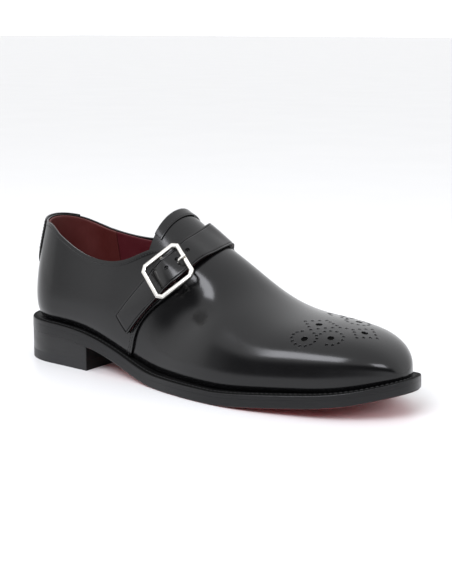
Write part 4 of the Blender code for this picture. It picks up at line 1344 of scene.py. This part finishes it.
LINING_LONG = 0.88
HOLE_GIRTHS = (2.50, 2.79, 3.10)
HOLES_ASIDE = 1.6 * MM
STRAP_HOLE = 1.25 * MM
STRAP_HOLE_DEEP = 1.2 * MM
STRAP_HOLE_REACHES = (1.2 * MM, 0.7 * MM)
STRAP_EDGE = 0.3 * MM
STRAP_LINING_EDGE = 0.15 * MM
STRAP_GRID = (230, 81)
STRAP_LINING_GRID = (230, 21)
TIP_STEP = 0.1


def strap_run(girth):
    """Run of the strap's centre line."""
    return run_of(STRAP_AT["x"](girth))


def strap_direction(girth):
    """Direction of the strap's centre line over the last, from its tip up."""
    low, high = girth - GIRTH_STEP, girth + GIRTH_STEP
    return unit(last_point(strap_run(high), high) - last_point(strap_run(low), low))


# Buckle's own directions: up the strap, to its side and out from the shoe
buckle_spot = np.array([run_of(BUCKLE_X)]), np.array([BUCKLE_GIRTH])
buckle_up = strap_direction(buckle_spot[1])[0]
buckle_out = unit(last_normal(*buckle_spot)[0] + math.tan(math.radians(BUCKLE_TILT)) * buckle_up)
buckle_up = unit(buckle_up - buckle_out * (buckle_up @ buckle_out))
buckle_side = np.cross(buckle_out, buckle_up)
buckle_face = over_last(*buckle_spot, np.array([BUCKLE_TOP]))[0]


def strap_spot(girth, across):
    """Run and girth of a point beside the strap's centre line."""
    return walk(strap_run(girth), girth, strap_direction(girth), across)


def strap_low(girth):
    """Height of the strap's underside over the last."""
    from_buckle = (last_point(strap_run(girth), girth) - buckle_face) @ buckle_up
    arch = STRAP_ARCH * np.cos(math.pi / 2 * np.clip(np.abs(from_buckle) / STRAP_ARCH_REACH, 0, 1)) ** 2
    settle = STRAP_SETTLE * np.exp(-((girth - SETTLE_MIDDLE) / SETTLE_REACH) ** 4)
    return STRAP_LIFT + arch - settle


tip_girth, root_girth = STRAP[0][0], STRAP[-1][0]
tip_spots = np.array([tip_girth, tip_girth + TIP_STEP])
tip_points = last_point(strap_run(tip_spots), tip_spots)
TIP_SPAN = np.linalg.norm(tip_points[1] - tip_points[0]) / TIP_STEP
hole_spots = np.array(HOLE_GIRTHS)
strap_holes = over_last(*strap_spot(hole_spots, np.full(len(HOLE_GIRTHS), HOLES_ASIDE)),
                        strap_low(hole_spots) + STRAP_AT["thick"](hole_spots))


def strap_shares(a, b, inset):
    """Girth along the strap and distance across it, with its tip's corners rounded."""
    rough = tip_girth + (root_girth - tip_girth) * a
    across = (2 * b - 1) * (STRAP_AT["half"](rough) - inset)
    in_corner = np.clip(TIP_ROUND - (STRAP_AT["half"](rough) - inset - np.abs(across)), 0, TIP_ROUND)
    back = inset + TIP_ROUND - np.sqrt(TIP_ROUND ** 2 - in_corner ** 2)
    start = tip_girth + back / TIP_SPAN
    return start + (root_girth - start) * a, across


def from_strap_holes(points):
    """Distance from the wall of the nearest strap hole."""
    return np.min([np.linalg.norm(points - hole, axis=1) for hole in strap_holes], axis=0) - STRAP_HOLE


def from_crease(girth, across):
    """Distance from the line creased along the strap's edges and round its tip."""
    return np.minimum(STRAP_AT["half"](girth) - np.abs(across), (girth - tip_girth) * TIP_SPAN) - CREASE_IN


def strap_face_place(a, b):
    """Outer face of the strap with its creased edges and holes."""
    girth, across = strap_shares(a, b, 0)
    run, turned = strap_spot(girth, across)
    high = strap_low(girth) + STRAP_AT["thick"](girth)
    crease = np.exp(-(from_crease(girth, across) / CREASE_WIDE) ** 2)
    away = from_strap_holes(over_last(run, turned, high))
    inside = np.clip((HOLE_WALL - away) / (2 * HOLE_WALL), 0, 1)
    crown = STRAP_CROWN * (across / STRAP_AT["half"](girth)) ** 2
    return over_last(run, turned, high - crown - CREASE_DEEP * crease - STRAP_HOLE_DEEP * inside)


def thicken(piece, depth):
    """Closes a sheet into a slab by a depth given at each point of it, measured along its normals."""
    mesh = piece.data
    count = len(mesh.vertices)
    under = values_of(mesh.vertices, "co", 3) - values_of(mesh.vertices, "normal", 3) * depth[:, None]
    apply_modifier(piece, "SOLIDIFY", thickness=MM, offset=-1, material_offset_rim=1)
    solid = values_of(mesh.vertices, "co", 3)
    solid[count:2 * count] = under
    mesh.vertices.foreach_set("co", solid.ravel())
    mesh.update()


def sheet_girths(piece, inset, long=1.0):
    """Girth along the strap at each point of a sheet that covers a share of its length from the tip."""
    a, b = sheet_shares(piece.data)
    return strap_shares(long * a, b, inset)[0]


def strap_lining_place(a, b):
    """Outer face of the strap's lining, under its calf, up to where the strap is sewn down."""
    girth, across = strap_shares(LINING_LONG * a, b, LINING_INSET)
    run, turned = strap_spot(girth, across)
    return over_last(run, turned, strap_low(girth) + LINING_SHARE * STRAP_AT["thick"](girth))


STRAP_RED = (0.045, 0.006, 0.008)
STRAP_RED_LIGHT = (0.075, 0.01, 0.012)
# Matte near-black: the real inked cut edges of the strap, and painted shade in its crease lines.
INK_AND_CREASE_SHADE = (0.0015, 0.0015, 0.0016)
INK_AND_CREASE_SHADE_LIGHT = (0.003, 0.003, 0.003)
CUT_EDGE_AND_CREASE_SHADE = leather("inked_edge_and_painted_crease_shade", INK_AND_CREASE_SHADE, INK_AND_CREASE_SHADE_LIGHT, (0.45, 0.6), bump=0.04 * MM, specular=0.12)
STRAP_LINING = leather("strap_lining_red", STRAP_RED, STRAP_RED_LIGHT, (0.4, 0.55), bump=0.04 * MM)
strap = add_sheet("strap_leather", STRAP_GRID, strap_face_place)
refine(strap, from_strap_holes, strap_face_place, STRAP_HOLE_REACHES)
for finish in (CALF, CUT_EDGE_AND_CREASE_SHADE, HOLE_SHADE_AND_CUT_EDGE):
    strap.data.materials.append(finish)
# Faces inside the strap's holes get the matte black: painted shade in the pits.
blacken(strap, from_strap_holes, 2)
# Faces along the creases get the matte near-black: painted shade in the crease lines.
corners = values_of(strap.data.uv_layers.active.uv, "vector", 2)
firsts = [face.loop_start for face in strap.data.polygons]
shares = np.add.reduceat(corners, firsts) / [[face.loop_total] for face in strap.data.polygons]
for face, away in zip(strap.data.polygons, from_crease(*strap_shares(*shares.T, 0))):
    if abs(away) < CREASE_SHADE_REACH:
        face.material_index = 1
thicken(strap, FACE_SHARE * STRAP_AT["thick"](sheet_girths(strap, 0)))
round_edges(strap, STRAP_EDGE, segments=2, angle=60)
strap_lining = add_sheet("strap_lining", STRAP_LINING_GRID, strap_lining_place)
lining_girths = sheet_girths(strap_lining, LINING_INSET, LINING_LONG)
thicken(strap_lining, LINING_SHARE * STRAP_AT["thick"](lining_girths))
round_edges(strap_lining, STRAP_LINING_EDGE, segments=2, angle=60)
strap_lining.data.materials.append(STRAP_LINING)
for piece, finish in ((strap, "black_calf"), (strap_lining, "lining_leather")):
    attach(piece, "root")
    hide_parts("strap")

# Buckle
# Cast frame with cut corners, polished and nickel plated, with a centre bar that is sewn to the quarter.
# The strap goes under its two cross bars and over the centre bar.

BUCKLE_LONG = 14.8 * MM
BUCKLE_WIDE = 14.2 * MM
BUCKLE_CORNER = 3.5 * MM
BUCKLE_BAR = 2.6 * MM
BUCKLE_THICK = 2.4 * MM
BUCKLE_EDGE = 0.6 * MM
PIN_RADIUS = 0.9 * MM
PIN_DEPTH = 3.85 * MM
NICKEL = (0.78, 0.76, 0.72)
NICKEL_DARK = (0.62, 0.60, 0.56)
NICKEL_ROUGH = (0.1, 0.26)
HAIRLINES = (6000.0, 300.0, 300.0)
WIRE_STEPS = 6
# shares of the way out to a post and depth, over half of the bar's length
PIN_ROUTE = ((1.0, -BUCKLE_THICK / 2), (1.0, -0.75 * PIN_DEPTH), (1.0, -PIN_DEPTH), (0.8, -PIN_DEPTH))


def in_buckle(up, side, out):
    """Point in the buckle's own directions, from the middle of its face."""
    return buckle_face + up * buckle_up + side * buckle_side + out * buckle_out


def seat_in_buckle(piece):
    """Moves a piece drawn with x up the strap, y to its side and z out onto the buckle's place."""
    points = values_of(piece.data.vertices, "co", 3)
    placed = buckle_face + points @ np.stack([buckle_up, buckle_side, buckle_out])
    piece.data.vertices.foreach_set("co", placed.ravel())
    piece.data.update()


def plated(name, dark, light):
    """Polished plating: faint clouds and hairlines in its gloss."""
    material, tree, shader, where = add_material(name, Metallic=1.0)
    clouds = add_node(tree, "ShaderNodeTexNoise", None, Vector=where, Scale=300.0, Detail=5.0).outputs["Fac"]
    drawn = add_node(tree, "ShaderNodeMapping", None, Vector=where, Scale=HAIRLINES).outputs[0]
    lines = add_node(tree, "ShaderNodeTexNoise", None, Vector=drawn, Scale=1.0, Detail=2.0).outputs["Fac"]
    shade(tree, shader, (clouds, dark, light), (lines, *NICKEL_ROUGH), (lines, 0.02 * MM), (0.0, 1.0), 0.25)
    return material


bpy.ops.object.select_all(action="DESELECT")
bpy.ops.mesh.primitive_plane_add(size=2)
buckle = bpy.context.object
buckle.name = "buckle_square"
bpy.ops.object.mode_set(mode="EDIT")
bpy.ops.transform.resize(value=(BUCKLE_LONG, BUCKLE_WIDE, 1))
bpy.ops.mesh.bevel(offset=BUCKLE_CORNER, affect="VERTICES", clamp_overlap=False)
bpy.ops.mesh.select_all(action="SELECT")
bpy.ops.mesh.inset(thickness=BUCKLE_BAR)
bpy.ops.mesh.delete(type="FACE")
bpy.ops.object.mode_set(mode="OBJECT")
apply_modifier(buckle, "SOLIDIFY", thickness=BUCKLE_THICK, offset=-1)
round_edges(buckle, BUCKLE_EDGE)
seat_in_buckle(buckle)


def add_wire(name, route, radius):
    """Round wire along a smooth route of points, with closed ends."""
    bpy.ops.curve.primitive_nurbs_path_add()
    piece = bpy.context.object
    piece.name = name
    spline = piece.data.splines[0]
    spline.points.add(len(route) - len(spline.points))
    for point, at in zip(spline.points, route):
        point.co = (*at, 1)
    spline.use_endpoint_u = True
    spline.order_u = 3
    spline.resolution_u = WIRE_STEPS
    piece.data.bevel_depth = radius
    piece.data.bevel_resolution = 4
    piece.data.use_fill_caps = True
    bpy.ops.object.convert(target="MESH")
    return bpy.context.object


PLATED = plated("nickel_plating", NICKEL_DARK, NICKEL)
post = BUCKLE_WIDE - BUCKLE_BAR / 2
half_bar = [(share * post, out) for share, out in PIN_ROUTE]
other_half = [(-side, out) for side, out in half_bar[::-1]]
pin_spots = half_bar + [(0, -PIN_DEPTH)] + other_half
pin = add_wire("centre_bar", [in_buckle(0, *spot) for spot in pin_spots], PIN_RADIUS)
smooth(pin)
buckle.data.materials.append(PLATED)
pin.data.materials.append(PLATED)
for piece in (buckle, pin):
    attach(piece, "root")
    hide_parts("buckle_frame")

# Prong
# Bent wire that hinges on the centre bar, comes up through the strap and lies over the upper cross bar.

PRONG_RADIUS = 0.8 * MM
PRONG_ROUTE = ((8.8, -1.0), (9.6, -0.1), (10.4, 1.0), (11.6, 1.35), (13.4, 1.3), (15.2, 1.1))
prong = add_wire("prong_wire", [in_buckle(up * MM, 0, out * MM) for up, out in PRONG_ROUTE], PRONG_RADIUS)
smooth(prong)
prong.data.materials.append(PLATED)
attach(prong, "root")
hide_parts("buckle_prong")

# Stage
# Pale floor in a white tent, open and dark towards the camera, so that polished leather shows its form.
# One large soft box stands high at the camera's left and a smaller one lower at its right.

VIEW_SIDE = math.radians(39.9)
VIEW_UP = math.radians(11.4)
FLOOR_SIZE = 40.0
FLOOR_PALE = (0.7, 0.7, 0.7)
FLOOR_PALE_LIGHT = (0.72, 0.72, 0.72)
TENT_LIGHT = 1.25
TENT_DARK = 0.12
TENT_WHITE = (0.98, 0.985, 1.0)
BOX_WHITE = (0.93, 0.94, 1.0)
TENT_OPENING = math.radians(-8)
TENT_EDGES = (0.12, 0.42)
LINTEL_EDGES = (0.25, 0.5)

bpy.ops.object.select_all(action="DESELECT")
bpy.ops.mesh.primitive_plane_add(size=FLOOR_SIZE)
floor = bpy.context.object
floor.name = "floor"
floor.data.materials.append(leather("pale_floor", FLOOR_PALE, FLOOR_PALE_LIGHT, (0.4, 0.5), pores=400,
                                    clouds=6, bump=0.02 * MM))

world = bpy.data.worlds.new("white_tent")
bpy.context.scene.world = world
world.use_nodes = True
tent = world.node_tree
towards = VIEW_SIDE + TENT_OPENING
way = add_node(tent, "ShaderNodeTexCoord").outputs["Generated"]
facing = add_node(tent, "ShaderNodeVectorMath", {"operation": "DOT_PRODUCT"}, _0=way,
                  _1=(math.sin(towards), -math.cos(towards), 0))
height = add_node(tent, "ShaderNodeSeparateXYZ", None, Vector=way)
soft = {"interpolation_type": "SMOOTHSTEP"}
opening = add_node(tent, "ShaderNodeMapRange", soft, Value=facing.outputs["Value"], From_Min=TENT_EDGES[0],
                   From_Max=TENT_EDGES[1])
lintel = add_node(tent, "ShaderNodeMapRange", soft, Value=height.outputs["Z"], From_Min=LINTEL_EDGES[0],
                  From_Max=LINTEL_EDGES[1], To_Min=1.0, To_Max=0.0)
dark = add_node(tent, "ShaderNodeMath", {"operation": "MULTIPLY"}, _0=opening.outputs[0],
                _1=lintel.outputs[0])
glow = add_node(tent, "ShaderNodeMapRange", None, Value=dark.outputs[0], To_Min=TENT_LIGHT, To_Max=TENT_DARK)
tent.links.new(glow.outputs[0], tent.nodes["Background"].inputs["Strength"])
tent.nodes["Background"].inputs["Color"].default_value = (*TENT_WHITE, 1)

# turn from the camera to its right and height in degrees, distance, width and depth in metres, radiance
SOFT_BOXES = {
    "soft_box_left": (-35, 46, 1.4, 1.12, 0.56, 9.0),
    "soft_box_right": (41, 29, 1.5, 0.55, 0.32, 7.5),
}
for name, (turn, up, away, wide, deep, radiance) in SOFT_BOXES.items():
    side, rise = VIEW_SIDE + math.radians(turn), math.radians(up)
    lamp = bpy.data.lights.new(name, "AREA")
    lamp.shape = "RECTANGLE"
    lamp.color = BOX_WHITE
    lamp.size = wide
    lamp.size_y = deep
    lamp.energy = radiance * math.pi * wide * deep
    box = bpy.data.objects.new(name, lamp)
    box.location = (away * math.sin(side) * math.cos(rise), -away * math.cos(side) * math.cos(rise),
                    away * math.sin(rise))
    box.rotation_euler = (math.pi / 2 - rise, 0, side)
    bpy.context.scene.collection.objects.link(box)
bpy.context.scene.view_settings.view_transform = "Standard"

# Camera
# At the photograph's viewing angle and distance, aimed at the shoe's middle, its picture shifted to match.

VIEW_AWAY = 0.9
FOCAL_PIXELS = 1420.0
PICTURE_WIDE = 452
PICTURE_HIGH = 584
AIM = np.array([148 * MM, 0, 45 * MM]) + SHIFT
AIM_PIXEL = (210.3, 310.0)
SENSOR = 36.0

camera_data = bpy.data.cameras.new("photo_camera")
camera = bpy.data.objects.new("photo_camera", camera_data)
bpy.context.scene.collection.objects.link(camera)
back = np.array([math.sin(VIEW_SIDE) * math.cos(VIEW_UP), -math.cos(VIEW_SIDE) * math.cos(VIEW_UP),
                 math.sin(VIEW_UP)])
camera.location = AIM + VIEW_AWAY * back
camera.rotation_euler = (math.pi / 2 - VIEW_UP, 0, VIEW_SIDE)
camera_data.sensor_fit = "VERTICAL"
camera_data.sensor_height = SENSOR
camera_data.lens = FOCAL_PIXELS / PICTURE_HIGH * SENSOR
camera_data.shift_x = (PICTURE_WIDE / 2 - AIM_PIXEL[0]) / PICTURE_HIGH
camera_data.shift_y = (AIM_PIXEL[1] - PICTURE_HIGH / 2) / PICTURE_HIGH
bpy.context.scene.camera = camera
